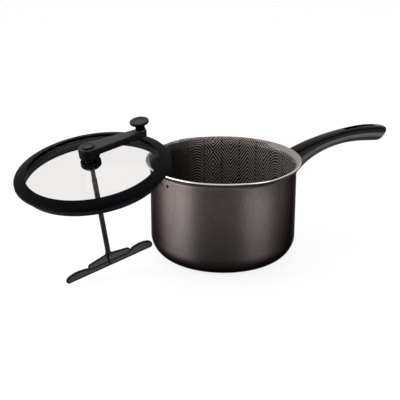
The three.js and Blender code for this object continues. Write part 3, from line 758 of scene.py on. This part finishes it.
def make_floor():
    mesh = bpy.data.meshes.new("floor")
    reach = FLOOR_REACH
    corners = [(-reach, -reach), (reach, -reach), (reach, reach), (-reach, reach)]
    mesh.from_pydata([(x, y, FLOOR_LEVEL) for x, y in corners], [], [(0, 1, 2, 3)])
    material = bpy.data.materials.new("floor")
    material.use_nodes = True
    tree = material.node_tree
    tree.nodes.clear()
    strength = ray_kinds(tree)[0] * (FLOOR_GLOW - FLOOR_GLOW_UNSEEN) + FLOOR_GLOW_UNSEEN
    glow = make_node(tree, "Emission", {"Strength": strength})
    diffuse = make_node(tree, "BsdfDiffuse", {"Color": (FLOOR_GREY, FLOOR_GREY, FLOOR_GREY)})
    both = make_node(tree, "AddShader", {0: diffuse.outputs[0], 1: glow.outputs[0]})
    make_node(tree, "OutputMaterial", {"Surface": both.outputs[0]})
    mesh.materials.append(material)
    obj = add_object("floor", mesh)
    obj.visible_glossy = False


make_camera()
make_lights()
make_world()
make_floor()
bpy.context.scene.view_settings.view_transform = "Standard"


# ---------- pan
PAN_SEGMENTS = 216


def spout(x, y, z):
    """Pushes the flare outward at the two pouring spouts."""
    rise = max(0.0, (z - FLARE_START) / FLARE_HEIGHT)
    reach = math.hypot(x, y)
    off = abs(math.asin(min(1.0, abs(x) / max(1.0, reach))))
    stretch = 1 + SPOUT_REACH * rise * smooth(1 - off / SPOUT_HALF_ANGLE) / PAN_RADIUS
    return x * stretch, y * stretch


def flare_inner(height):
    t = (height - FLARE_START) / FLARE_HEIGHT
    return PAN_RADIUS - PAN_WALL + (FLARE_SPREAD + PAN_WALL) * t * t


def pan_profile():
    """The outside, the rim's cut edge and the inside; the first and last go from the middle up."""
    flat = PAN_RADIUS - PAN_CORNER
    corner_steps, wall_steps, flare_steps = 16, 4, 12
    # Turned rings in the underside.
    outside = [(0, 0.35), (24, 0.35), (25, 0), (28, 0), (29, 0.35), (55, 0.35), (56, 0)]
    inside = [(0, PAN_FLOOR), (35, PAN_FLOOR)]
    for i in range(corner_steps + 1):
        turn = i / corner_steps * math.pi / 2
        out, down = math.sin(turn), math.cos(turn)
        outside.append((flat + PAN_CORNER * out, PAN_CORNER * (1 - down)))
        inside.append((flat + (PAN_CORNER - PAN_WALL) * out, PAN_CORNER - (PAN_CORNER - PAN_FLOOR) * down))
    for i in range(1, wall_steps):
        height = PAN_CORNER + (FLARE_START - PAN_CORNER) * i / wall_steps
        outside.append((PAN_RADIUS, height))
        inside.append((PAN_RADIUS - PAN_WALL, height))
    for i in range(flare_steps + 1):
        t = i / flare_steps
        outside.append((PAN_RADIUS + FLARE_SPREAD * t * t, FLARE_START + (FLARE_HEIGHT - RIM_EDGE) * t))
        height = FLARE_START + FLARE_HEIGHT * t
        inside.append((flare_inner(height), height))
    # The cut edge is a little rounded.
    soft = 0.55
    (low_x, low_z), (high_x, high_z) = outside[-1], inside[-1]
    outside[-1] = (low_x - 0.3, low_z - 0.1)
    edge = [(low_x, low_z + soft), (high_x, high_z - soft),
            (high_x - 0.16, high_z - 0.16), (high_x - soft, high_z)]
    inside[-1] = (high_x - soft - 0.35, high_z - 0.22)
    return outside, edge, inside


def steam_hole(index):
    """A rod that cuts one of the row of holes opposite the handle."""
    angle = math.pi + (index - (STEAM_HOLE_COUNT - 1) / 2) * (STEAM_HOLE_PITCH / PAN_RADIUS)
    place = (ROW @ Matrix.Translation((0, 0, PAN_HEIGHT - STEAM_HOLE_DROP))
             @ Matrix.Rotation(angle, 4, "Z") @ Matrix.Rotation(math.pi / 2, 4, "Y"))
    # The rod's finish gives the holes' bores the darker coating: painted shade.
    return rod_helper(STEAM_HOLE_RADIUS, PAN_RADIUS - 6, PAN_RADIUS + 4, place, 48, [HOLE_PAINTED_SHADE])


def pan_shell():
    outside, edge, inside = pan_profile()
    profile = [*outside, *edge, *reversed(inside)]
    bands = [0] * (len(outside) - 1) + [2] * len(edge) + [1] * len(inside)
    obj = make_object("pan_shell_visual", *lathe_mesh(profile, PAN_SEGMENTS, spout), ROW,
                      [EXTERIOR, INTERIOR, RIM], [band for band in bands for _ in range(PAN_SEGMENTS)])
    combine(obj, [steam_hole(index) for index in range(STEAM_HOLE_COUNT)])
    shade(obj.data)
    settle(obj, "pan", "pan_coating", "pan_shell")


# ---------- handle
PLATE_INNER = PAN_RADIUS + GAP
PLATE_OUTER = PLATE_INNER + BRACKET_THICKNESS
GRIP_ROOT = PLATE_OUTER + GAP
TONGUE_SLOPE = math.atan2(ROOT_RISE, ROOT_RUN)
TONGUE_ROOT = PLATE_OUTER - BRACKET_THICKNESS / 2
TONGUE = (ROW @ Matrix.Translation((TONGUE_ROOT, 0, HANDLE_ROOT_HEIGHT))
          @ Matrix.Rotation(-TONGUE_SLOPE, 4, "Y"))

HANDLE_LINE = (
    Vector((GRIP_ROOT, HANDLE_ROOT_HEIGHT)),
    Vector((GRIP_ROOT + ROOT_RUN, HANDLE_ROOT_HEIGHT + ROOT_RISE)),
    Vector((PAN_RADIUS + HANDLE_REACH - TAIL_RUN, HANDLE_ROOT_HEIGHT + HANDLE_TIP_RISE + TAIL_DROP)),
    Vector((PAN_RADIUS + HANDLE_REACH, HANDLE_ROOT_HEIGHT + HANDLE_TIP_RISE)),
)


def handle_point(t):
    a, b, c, d = HANDLE_LINE
    if t < 0:
        return a + (b - a) * 3 * t
    u = 1 - t
    return a * u ** 3 + b * 3 * u * u * t + c * 3 * u * t * t + d * t ** 3


def handle_tangent(t):
    a, b, c, d = HANDLE_LINE
    t = max(0.0, t)
    u = 1 - t
    return ((b - a) * 3 * u * u + (c - b) * 6 * u * t + (d - c) * 3 * t * t).normalized()


def grip_size(t):
    """Half the grip's height and width, which change towards the root and the tail."""
    root = max(0.0, 1 - max(0.0, t) / 0.55) ** 2
    tail = smooth((t - 0.6) / 0.32)
    return [middle + (at_root - middle) * root + (at_tail - middle) * tail for at_root, middle, at_tail in (
        (ROOT_HALF_HEIGHT, GRIP_HALF_HEIGHT, TAIL_HALF_HEIGHT),
        (ROOT_HALF_WIDTH, GRIP_HALF_WIDTH, TAIL_HALF_WIDTH),
    )]


GRIP_SIDES = 72
GLOSSY_POWER, SATIN_POWER = 0.62, 0.92  # the lower, the boxier the section; 1 is an ellipse
CREASE = 0.34  # share of the half height where the glossy top ends in a ledge


def boxed(value, power):
    return math.copysign(abs(value) ** power, value)


def grip_section(t, scale):
    """A boxy glossy top, a ledge, and a rounder satin side below it."""
    centre, tangent = handle_point(t), handle_tangent(t)
    half_height, half_width = grip_size(t)
    slant = TIP_SLANT * smooth((t - 0.72) / 0.28)
    fade = smooth((0.995 - t) / 0.03)
    points = []
    for i in range(GRIP_SIDES):
        angle = 2 * math.pi * i / GRIP_SIDES
        power = GLOSSY_POWER if math.sin(angle) > 0 else SATIN_POWER
        side, up = boxed(math.cos(angle), power), boxed(math.sin(angle), power)
        across = half_width * scale * side
        if up < CREASE:
            ledge = smooth((CREASE - up) / 0.10) * smooth((up + 1.25) / 0.7)
            across -= math.copysign(min(abs(across), 1.25 * ledge * fade), across)
        rise = half_height * scale * up
        along = slant * rise
        points.append((
            centre.x + tangent.x * along - tangent.y * rise,
            across,
            centre.y + tangent.y * along + tangent.x * rise,
        ))
    return points


def grip_body():
    """Sections strung along the handle's line, from inside the wall that trims them to the rounded tip."""
    stations = 84
    rounding = ((0.97, 1.0), (0.978, 0.99), (0.985, 0.965), (0.991, 0.925), (0.996, 0.87), (1.0, 0.8))
    sections = [grip_section(t, 1) for t in (-0.25, -0.18, -0.12, -0.06)]
    sections += [grip_section(i / stations * 0.96, 1) for i in range(stations + 1)]
    sections += [grip_section(t, scale) for t, scale in rounding]
    vertices = [p for section in sections for p in section]
    faces = sides(GRIP_SIDES, len(sections))
    heights = [math.sin(2 * math.pi * (i + 0.5) / GRIP_SIDES) for i in range(GRIP_SIDES)]
    strips = [0 if height > 0 and height ** GLOSSY_POWER > CREASE - 0.02 else 1 for height in heights]
    finish = strips * (len(sections) - 1) + [1] * (GRIP_SIDES + 1)
    # The far end closes on its middle.
    hub = len(vertices)
    last = hub - GRIP_SIDES
    centre = Vector((0, 0, 0))
    for vertex in vertices[last:]:
        centre += Vector(vertex) / GRIP_SIDES
    vertices.append(tuple(centre))
    faces += [(last + i, last + (i + 1) % GRIP_SIDES, hub) for i in range(GRIP_SIDES)]
    faces.append(tuple(reversed(range(GRIP_SIDES))))
    return make_object("handle_grip_visual", vertices, faces, ROW, [PHENOLIC_TOP, PHENOLIC_SIDE], finish)


def slot_cutter(finishes):
    """The hanging slot, right through the grip."""
    half = SLOT_WIDTH / 2
    end = SLOT_LENGTH / 2 - half
    outline = arc((end, 0), half, -90, 90, 20) + arc((-end, 0), half, 90, 270, 20)
    middle = PAN_RADIUS + HANDLE_REACH - SLOT_INSET - SLOT_LENGTH / 2
    place = ROW @ Matrix.Translation((middle, 0, PAN_HEIGHT))
    vertices = [(x, y, z) for z in (-PAN_HEIGHT, PAN_HEIGHT) for x, y in outline]
    return helper(vertices, prism(len(outline)), place, finishes)


def tongue_cutter(finishes):
    """The pocket that the bracket's tongue runs in."""
    length = TONGUE_LENGTH + BRACKET_THICKNESS / 2 + GAP
    half_w, half_t = TONGUE_WIDTH / 2 + GAP, TONGUE_THICKNESS / 2 + GAP
    corners = [(x, y, z) for x in (0, length) for y in (-half_w, half_w) for z in (-half_t, half_t)]
    box = [(0, 1, 3, 2), (4, 6, 7, 5), (0, 4, 5, 1), (2, 3, 7, 6), (0, 2, 6, 4), (1, 5, 7, 3)]
    return helper(corners, box, TONGUE, finishes)


def handle_grip():
    screw = TONGUE @ Matrix.Translation((HANDLE_SCREW_OFFSET + BRACKET_THICKNESS / 2, 0, 0))
    head_top = -TONGUE_THICKNESS / 2 - GRIP_SCREW_BED
    recess = [PHENOLIC_RECESS]
    obj = grip_body()
    combine(obj, [
        rod_helper(GRIP_ROOT, 0, PAN_HEIGHT + PAN_RADIUS, ROW, 288, recess),
        slot_cutter(recess),
        tongue_cutter(recess),
        rod_helper(HANDLE_SCREW_RADIUS + GAP, head_top - 4, TONGUE_THICKNESS / 2 + GAP, screw, 48, recess),
        rod_helper(HANDLE_SCREW_HEAD + GAP, -2 * ROOT_HALF_HEIGHT, head_top + GAP, screw, 48, recess),
    ])
    soften(obj, 0.7, 3, angle=48)
    settle(obj, "pan", "handle_phenolic", "handle_grip")


# ---------- lid
RIM_OUTER = flare_inner(PAN_HEIGHT - LID_SEAT_DROP) - GAP
LIP_RADIUS = RIM_OUTER - RIM_WIDTH
LIP_TOP = FLANGE_THICKNESS + RIM_CROWN
GLASS_RADIUS = LIP_RADIUS + GLASS_GRIP
GLASS_INNER_CURVE = GLASS_CURVE - GLASS_THICKNESS


def dome_drop(radius, curve):
    return curve - math.sqrt(curve * curve - radius * radius) + GLASS_EDGE_FALL * (radius / LIP_RADIUS) ** 4


GLASS_TOP = LIP_TOP - RIM_LIP - GAP + dome_drop(LIP_RADIUS, GLASS_CURVE)
GLASS_BOTTOM = GLASS_TOP - GLASS_THICKNESS


def upper_skin(radius):
    return GLASS_TOP - dome_drop(radius, GLASS_CURVE)


def lower_skin(radius):
    return GLASS_BOTTOM - dome_drop(radius, GLASS_INNER_CURVE)


BUSH_RADIUS = JOURNAL_RADIUS + GAP + BUSH_WALL
GLASS_HOLE = BUSH_RADIUS + GAP


def lid_glass():
    steps = 28
    radii = [GLASS_HOLE + (GLASS_RADIUS - GLASS_HOLE) * i / steps for i in range(steps + 1)]
    profile = [(r, lower_skin(r)) for r in radii] + [(r, upper_skin(r)) for r in reversed(radii)]
    settle(turned("lid_glass_visual", profile, LID, GLASS, PAN_SEGMENTS, 0.25),
           "lid", "lid_glass", "lid_glass")


def lid_rim():
    groove = GLASS_RADIUS + GAP
    skirt_top = RIM_OUTER - SKIRT_INSET
    skirt_foot = skirt_top - SKIRT_TAPER
    lower_lip = LIP_RADIUS + LOWER_LIP_INSET
    crown = rounded([
        (RIM_OUTER, 0),
        (RIM_OUTER, FLANGE_THICKNESS),
        ((RIM_OUTER + LIP_RADIUS) / 2, FLANGE_THICKNESS + RIM_CROWN * 0.62),
        (LIP_RADIUS, LIP_TOP),
        (LIP_RADIUS, upper_skin(LIP_RADIUS) + GAP),
    ], 1.5, closed=False, steps=6, least_turn=8)
    profile = [
        (skirt_foot - SKIRT_EDGE, -SKIRT_DEPTH),
        (skirt_foot, -SKIRT_DEPTH),
        (skirt_top, 0),
        *crown,
        (groove, upper_skin(groove) + GAP),
        (groove, lower_skin(groove) - GAP),
        (lower_lip, lower_skin(lower_lip) - GAP),
    ]
    settle(turned("lid_rim_visual", profile, LID, RING, PAN_SEGMENTS, 0.4),
           "lid", "rim_plastic", "lid_rim")


UPPER_GASKET_BOTTOM = GLASS_TOP + GAP
UPPER_GASKET_TOP = UPPER_GASKET_BOTTOM + GASKET
FLANGE_BOTTOM = UPPER_GASKET_TOP + GAP
FLANGE_TOP = FLANGE_BOTTOM + BUSH_FLANGE
SLIP_BOTTOM = FLANGE_TOP + GAP
SLIP_TOP = SLIP_BOTTOM + SLIP_WASHER
HUB_BOTTOM = SLIP_TOP + GAP
LOWER_GASKET_TOP = lower_skin(BUSH_FLANGE_RADIUS) - GAP
LOWER_GASKET_BOTTOM = LOWER_GASKET_TOP - GASKET
NUT_TOP = LOWER_GASKET_BOTTOM - GAP
NUT_BOTTOM = NUT_TOP - NUT_HEIGHT
BUSH_END = NUT_BOTTOM - BUSH_PROTRUSION
BORE = JOURNAL_RADIUS + GAP


def ring(name, place, inner, outer, bottom, top, finish, body, slot, node, segments=96, edge=0.4):
    profile = [(inner, bottom), (outer, bottom), (outer, top), (inner, top)]
    settle(turned(name, profile, place, finish, segments, edge), body, slot, node)


def bush():
    profile = [(BORE, BUSH_END), (BUSH_RADIUS, BUSH_END), (BUSH_RADIUS, FLANGE_BOTTOM),
               (BUSH_FLANGE_RADIUS, FLANGE_BOTTOM), (BUSH_FLANGE_RADIUS, FLANGE_TOP), (BORE, FLANGE_TOP)]
    settle(turned("shaft_bush_visual", profile, LID, NYLON), "lid", "crank_plastic", "shaft_bush")


def nut():
    edge = NUT_HEIGHT / 3
    bore = BUSH_RADIUS + GAP
    flutes, flute_depth = 12, 0.07
    profile = [(bore, NUT_BOTTOM), (NUT_RADIUS - edge, NUT_BOTTOM), (NUT_RADIUS, NUT_BOTTOM + edge),
               (NUT_RADIUS, NUT_TOP), (bore, NUT_TOP)]

    def fluted(x, y, _):
        reach = math.hypot(x, y)
        share = smooth((reach - bore - 1) / (NUT_RADIUS - bore - 1))
        dip = max(0.0, math.cos(flutes * math.atan2(y, x))) ** 3
        scale = 1 - flute_depth * dip * share
        return x * scale, y * scale

    obj = turned("bush_nut_visual", profile, LID, NYLON, 192, shape=fluted)
    settle(obj, "lid", "crank_plastic", "bush_nut")


# ---------- crank
ARM_TOP = HUB_BOTTOM + ARM_THICKNESS
SOCKET_TOP = HUB_BOTTOM + HUB_SOCKET_DEPTH
SHAFT_TOP = SOCKET_TOP - GAP
CAP_RING_RADIUS = HUB_CAP_RADIUS - 2.4
COUNTERBORE = CAP_RING_RADIUS + GAP
SCREW_HEAD_TOP = ARM_TOP - GAP - 1
SCREW_HEAD_BOTTOM = SCREW_HEAD_TOP - HUB_SCREW_HEAD
COUNTERBORE_FLOOR = SCREW_HEAD_BOTTOM - GAP
HUB_FOOT = GLASS_TOP + HUB_FOOT_CLEARANCE


def arm_outline(hub_radius, tip_radius):
    """A round hub and a round tip joined by straight sides."""
    steps = 36
    lean = math.degrees(math.asin((hub_radius - tip_radius) / ARM_REACH))
    hub = arc((0, 0), hub_radius, 90 - lean, 270 + lean, steps)
    tip = arc((ARM_REACH, 0), tip_radius, lean - 90, 90 - lean, steps)
    return hub + tip


def hub_at(height):
    """The hub's radius, from its foot to the arm's top."""
    share = (height - HUB_FOOT) / (ARM_TOP - HUB_FOOT)
    return HUB_FOOT_RADIUS + (ARM_HUB_RADIUS - HUB_FOOT_RADIUS) * share


def arm_body():
    chamfer = 1.5
    tip_taper = 0.5
    levels = [(HUB_BOTTOM, 0.45), (HUB_BOTTOM + 0.13, 0.13), (HUB_BOTTOM + 0.45, 0)]
    levels += [(HUB_BOTTOM + (ARM_THICKNESS - chamfer) * k / 4, 0) for k in (1, 2, 3)]
    for k in range(6):
        turn = k / 5 * math.pi / 2
        levels.append((ARM_TOP - chamfer + chamfer * math.sin(turn), chamfer * (1 - math.cos(turn))))
    vertices = []
    for height, inset in levels:
        low = (ARM_TOP - height) / ARM_THICKNESS
        outline = arm_outline(hub_at(height) - inset, ARM_TIP_RADIUS - tip_taper * low - inset)
        vertices += [(x, y, height) for x, y in outline]
    return make_object("crank_arm_visual", vertices, prism(len(outline), len(levels)), CRANK, [NYLON_PAINTED_TOP_LIGHT])


def hub_skirt():
    """The hub's wall below the arm. It runs a little way up inside it, so that the two make one body."""
    skirt_inner = HUB_FOOT_RADIUS - HUB_FOOT_WALL
    overlap = 1.2
    skirt = rounded([
        (skirt_inner, HUB_FOOT),
        (HUB_FOOT_RADIUS, HUB_FOOT),
        (hub_at(HUB_BOTTOM + overlap) - 0.02, HUB_BOTTOM + overlap),
        (skirt_inner, HUB_BOTTOM + overlap),
    ], 0.3)
    return helper(*lathe_mesh(skirt, 96), CRANK)


def crank_arm():
    obj = arm_body()
    combine(obj, [hub_skirt()], "UNION")
    combine(obj, [
        rod_helper(JOURNAL_RADIUS + GAP, HUB_FOOT - 1, SOCKET_TOP, CRANK),
        rod_helper(HUB_SCREW_RADIUS + GAP, HUB_FOOT - 1, ARM_TOP + 1, CRANK),
        rod_helper(COUNTERBORE, COUNTERBORE_FLOOR, ARM_TOP + 1, CRANK),
        rod_helper(SPINDLE_RADIUS + GAP, ARM_TOP - SPINDLE_SEAT - GAP, ARM_TOP + 1, KNOB),
    ])
    shade(obj.data)
    # The arm's top and bottom keep the painted light; its sides get the plain plastic.
    edge_finish(obj, NYLON, axis_of(CRANK, 2), 0.97)
    settle(obj, "crank", "crank_plastic", "crank_arm")


def hub_cap():
    bottom = ARM_TOP + GAP
    top = bottom + HUB_CAP_HEIGHT
    inner = max(CAP_RING_RADIUS - 1.2, HUB_SCREW_HEAD_RADIUS + GAP)
    ring_bottom = COUNTERBORE_FLOOR + GAP
    profile = rounded([(0, bottom), (inner, bottom), (inner, ring_bottom), (CAP_RING_RADIUS, ring_bottom),
                       (CAP_RING_RADIUS, bottom), (HUB_CAP_RADIUS, bottom)], 0.2, closed=False)
    # A dished top inside a raised edge.
    profile += rounded([(HUB_CAP_RADIUS, bottom), (HUB_CAP_RADIUS, top), (HUB_CAP_RADIUS - 1.4, top),
                        (HUB_CAP_RADIUS - 2.1, top - 0.45), (0, top - 0.45)], 0.6, closed=False, steps=4)[1:]
    obj = turned("hub_cap_visual", profile, CRANK, NYLON_PAINTED_TOP_LIGHT, edge=0)
    # The cap's top keeps the painted light; its edge gets the plain plastic.
    edge_finish(obj, NYLON, axis_of(CRANK, 2))
    settle(obj, "crank", "crank_plastic", "hub_cap")


# ---------- knob
KNOB_WASHER_BOTTOM = ARM_TOP + GAP
KNOB_WASHER_TOP = KNOB_WASHER_BOTTOM + KNOB_WASHER
KNOB_BOTTOM = KNOB_WASHER_TOP + GAP
KNOB_DISC_BOTTOM = KNOB_BOTTOM + KNOB_NECK
KNOB_TOP = KNOB_DISC_BOTTOM + KNOB_DISC
KNOB_CAP_BOTTOM = KNOB_TOP - KNOB_CAP
SPINDLE_HEAD_TOP = KNOB_CAP_BOTTOM - 2 * GAP
SPINDLE_HEAD_BOTTOM = SPINDLE_HEAD_TOP - SPINDLE_HEAD


def knob_body():
    bore = SPINDLE_RADIUS + GAP
    pocket = SPINDLE_HEAD_RADIUS + GAP
    pocket_floor = SPINDLE_HEAD_BOTTOM - GAP
    cap_seat_radius = KNOB_CAP_RADIUS + GAP
    cap_seat = KNOB_CAP_BOTTOM - GAP
    waist = KNOB_NECK_RADIUS - 0.7
    middle = (KNOB_BOTTOM + KNOB_DISC_BOTTOM) / 2
    outer = rounded([
        (bore, KNOB_BOTTOM),
        (KNOB_NECK_RADIUS, KNOB_BOTTOM),
        (waist, middle - 0.6),
        (KNOB_NECK_RADIUS, KNOB_DISC_BOTTOM),
        (KNOB_RADIUS, KNOB_DISC_BOTTOM + KNOB_DISC * 0.32),
        (KNOB_RADIUS, KNOB_TOP),
        (cap_seat_radius, KNOB_TOP),
    ], 1.9, closed=False, steps=6, least_turn=8)
    inner = [(cap_seat_radius, cap_seat), (pocket, cap_seat), (pocket, pocket_floor), (bore, pocket_floor)]
    obj = turned("knob_body_visual", outer + inner, KNOB, NYLON_PAINTED_TOP_LIGHT, 128, edge=0)
    # Painted shade on the knob's sides and neck; its top keeps the painted light.
    edge_finish(obj, KNOB_PAINTED_SIDE_SHADE, axis_of(KNOB, 2))
    settle(obj, "knob", "crank_plastic", "knob_body")


def knob_cap():
    profile = rounded([(0, KNOB_CAP_BOTTOM), (KNOB_CAP_RADIUS, KNOB_CAP_BOTTOM),
                       (KNOB_CAP_RADIUS, KNOB_TOP - 0.1), (KNOB_CAP_RADIUS - 1.2, KNOB_TOP - 0.1),
                       (KNOB_CAP_RADIUS - 1.7, KNOB_TOP - 0.5), (0, KNOB_TOP - 0.35)], 0.35, closed=False)
    obj = turned("knob_cap_visual", profile, KNOB, NYLON_PAINTED_TOP_LIGHT, edge=0)
    # The cap's top keeps the painted light; its edge gets the plain plastic.
    edge_finish(obj, NYLON, axis_of(KNOB, 2))
    settle(obj, "knob", "crank_plastic", "knob_cap")


def headed_pin(name, place, node, end, shank, seat, head, top):
    """A pin or screw that stands on its end, with a flat head from its seat to its top."""
    profile = [(0, end), (shank, end), (shank, seat), (head, seat), (head, top), (0, top)]
    settle(turned(name, profile, place, STEEL, 64), "crank", "steel", node)


def steel_pieces():
    headed_pin("hub_screw_visual", CRANK, "hub_screw", SCREW_HEAD_BOTTOM - 9, HUB_SCREW_RADIUS,
               SCREW_HEAD_BOTTOM, HUB_SCREW_HEAD_RADIUS, SCREW_HEAD_TOP)
    headed_pin("knob_spindle_visual", KNOB, "knob_spindle", ARM_TOP - SPINDLE_SEAT, SPINDLE_RADIUS,
               SPINDLE_HEAD_BOTTOM, SPINDLE_HEAD_RADIUS, SPINDLE_HEAD_TOP)
    # The washer gets the darker steel: painted shade under the knob's disc.
    ring("knob_washer_visual", KNOB, SPINDLE_RADIUS + GAP, KNOB_NECK_RADIUS,
         KNOB_WASHER_BOTTOM, KNOB_WASHER_TOP, DARK_STEEL, "crank", "steel", "knob_washer", 64, 0.15)


# ---------- stirrer
SEATED_DEPTH = PAN_HEIGHT - LID_SEAT_DROP - PAN_FLOOR
PADDLE_BOTTOM = -(SEATED_DEPTH + FLOAT_TRAVEL - FLOAT_RESERVE)
SHOULDER = BUSH_END - FLOAT_TRAVEL - GAP
SOCKET_TOP_HEIGHT = PADDLE_BOTTOM + PADDLE_WEB + 1
TENON_END = SOCKET_TOP_HEIGHT + GAP - TENON_LENGTH
PIN_HEIGHT = SOCKET_TOP_HEIGHT - TENON_LENGTH * 0.45


def stirrer_shaft():
    foot = SOCKET_TOP_HEIGHT + GAP
    profile = [(0, TENON_END), (TENON_RADIUS, TENON_END), (TENON_RADIUS, foot),
               (SHAFT_RADIUS, foot), (SHAFT_RADIUS, SHOULDER), (JOURNAL_RADIUS, SHOULDER),
               (JOURNAL_RADIUS, SHAFT_TOP), (0, SHAFT_TOP)]
    settle(turned("stirrer_shaft_visual", profile, STIRRER, COATED_STEEL, 64),
           "crank", "shaft_coating", "stirrer_shaft")


def bend(points, steps=10):
    """A path of straight lines, and of curves where an entry holds a control point and an end."""
    path = [points[0]]
    for entry in points[1:]:
        if isinstance(entry[0], tuple):
            start, control, end = path[-1], *entry
            for k in range(1, steps + 1):
                t = k / steps
                path.append(tuple(start[n] * (1 - t) ** 2 + control[n] * 2 * t * (1 - t) + end[n] * t * t
                                  for n in (0, 1)))
        else:
            path.append(entry)
    if (Vector(path[0]) - Vector(path[-1])).length < TINY:
        path.pop()
    return path


def bar_outline():
    tip, wing, step = PADDLE_HALF_LENGTH, PADDLE_WING, PADDLE_STEP
    flat = tip - 4
    return bend([
        (-flat, 0),
        (flat, 0),
        ((tip, 0.5), (tip, wing * 0.42)),
        ((tip - 1, wing * 0.78), (tip - 8, wing * 0.9)),
        (((tip + step) / 2, wing * 1.12), (step + 4, wing * 0.88)),
        (step - 4, PADDLE_BAR),
        (4 - step, PADDLE_BAR),
        (-step - 4, wing * 0.88),
        ((-(tip + step) / 2, wing * 1.12), (8 - tip, wing * 0.9)),
        ((1 - tip, wing * 0.78), (-tip, wing * 0.42)),
        ((-tip, 0.5), (-flat, 0)),
    ])


def web_outline():
    step, web = PADDLE_STEP, PADDLE_WEB
    side = step - 5
    return bend([
        (-step, 1),
        (step, 1),
        (step, PADDLE_BAR + 2.6),
        ((step - 1, web * 0.78), (side, web * 0.8)),
        (SOCKET_RADIUS, web),
        (-SOCKET_RADIUS, web),
        (-side, web * 0.8),
        ((1 - step, web * 0.78), (-step, PADDLE_BAR + 2.6)),
    ])


WEB_THICKNESS = PADDLE_THICKNESS * 0.6
PAINTED_SHADE_BORDER = 1.8  # a border of painted shade round the paddle's faces


def standing_plate(outline, thickness, pitched):
    """A plate that stands on its edge; its wings may lean opposite ways."""
    full = PADDLE_STEP + 8

    def lean(x, z):
        if not pitched:
            return 0.0
        share = smooth((abs(x) - PADDLE_STEP + 4) / (full - PADDLE_STEP + 4))
        return math.copysign(math.tan(PADDLE_PITCH) * share * z, x)

    dense = []
    for (x0, z0), (x1, z1) in zip(outline, outline[1:] + outline[:1]):
        pieces = max(1, int(math.hypot(x1 - x0, z1 - z0) / 3))
        dense += [(x0 + (x1 - x0) * k / pieces, z0 + (z1 - z0) * k / pieces) for k in range(pieces)]
    half, count = thickness / 2, len(dense)
    vertices = [(x, y + lean(x, z), z) for y in (-half, half) for x, z in dense]
    return vertices, [*sides(count), tuple(range(count)), tuple(reversed(range(count, 2 * count)))]


def outlined(obj, width):
    """Sets a border of the piece's second finish into its flat faces, and cuts them into triangles."""
    with editing(obj.data) as shell:
        flat = [face for face in shell.faces if len(face.verts) > 4]
        border = bmesh.ops.inset_region(shell, faces=flat, thickness=width * MM, use_even_offset=True)
        for face in border["faces"]:
            face.material_index = 1
        bmesh.ops.triangulate(shell, faces=[face for face in shell.faces if len(face.verts) > 4])


def stirrer_paddle():
    place = STIRRER @ Matrix.Translation((0, 0, PADDLE_BOTTOM))
    finishes = [PADDLE, PADDLE_PAINTED_EDGE_SHADE]
    # Painted shade: a dark border is set into the flat faces of the bar and the web.
    bar = standing_plate(bar_outline(), PADDLE_THICKNESS, True)
    obj = make_object("stirrer_paddle_visual", *bar, place, finishes)
    outlined(obj, PAINTED_SHADE_BORDER)
    web = helper(*standing_plate(web_outline(), WEB_THICKNESS, False), place, finishes)
    outlined(web, PAINTED_SHADE_BORDER)
    socket = [(0, 1.5), (SOCKET_FOOT_RADIUS, 1.5), (SOCKET_RADIUS, PADDLE_WEB + 1), (0, PADDLE_WEB + 1)]
    combine(obj, [web, helper(*lathe_mesh(socket, 48), place)], "UNION")
    pin_place = STIRRER @ Matrix.Translation((0, 0, PIN_HEIGHT)) @ Matrix.Rotation(math.pi / 2, 4, "X")
    reach = SOCKET_RADIUS + 0.6
    combine(obj, [
        rod_helper(TENON_RADIUS + GAP, TENON_END - GAP, SOCKET_TOP_HEIGHT + 1, STIRRER),
        rod_helper(1 + GAP, -reach, reach, pin_place, 24),
    ])
    soften(obj, 0.85, 2, angle=42)
    # Painted shade on all the paddle's edges.
    edge_finish(obj, PADDLE_PAINTED_EDGE_SHADE, axis_of(place, 1))
    obj.visible_glossy = False  # its reflection would smudge the pan's wall
    settle(obj, "crank", "crank_plastic", "stirrer_paddle")


# ---------- assembly
pan_shell()
handle_grip()
lid_glass()
lid_rim()
ring("gasket_upper_visual", LID, GLASS_HOLE, BUSH_FLANGE_RADIUS, UPPER_GASKET_BOTTOM, UPPER_GASKET_TOP,
     RUBBER, "lid", "seal_rubber", "gasket_upper")
ring("gasket_lower_visual", LID, GLASS_HOLE, BUSH_FLANGE_RADIUS, LOWER_GASKET_BOTTOM, LOWER_GASKET_TOP,
     RUBBER, "lid", "seal_rubber", "gasket_lower")
bush()
nut()
ring("slip_washer_visual", LID, BORE, SLIP_WASHER_RADIUS, SLIP_BOTTOM, SLIP_TOP, NYLON,
     "slip", "crank_plastic", "slip_washer", edge=0.2)
crank_arm()
hub_cap()
knob_body()
knob_cap()
steel_pieces()
stirrer_shaft()
stirrer_paddle()

# The bracket, its screw and the paddle's pin keep their CAD shapes.
for node, finish in (("handle_bracket", STEEL), ("handle_screw", STEEL), ("paddle_pin", DARK_STEEL)):
    data = frame["nodes"][node].data
    data.materials.clear()
    data.materials.append(finish.material)
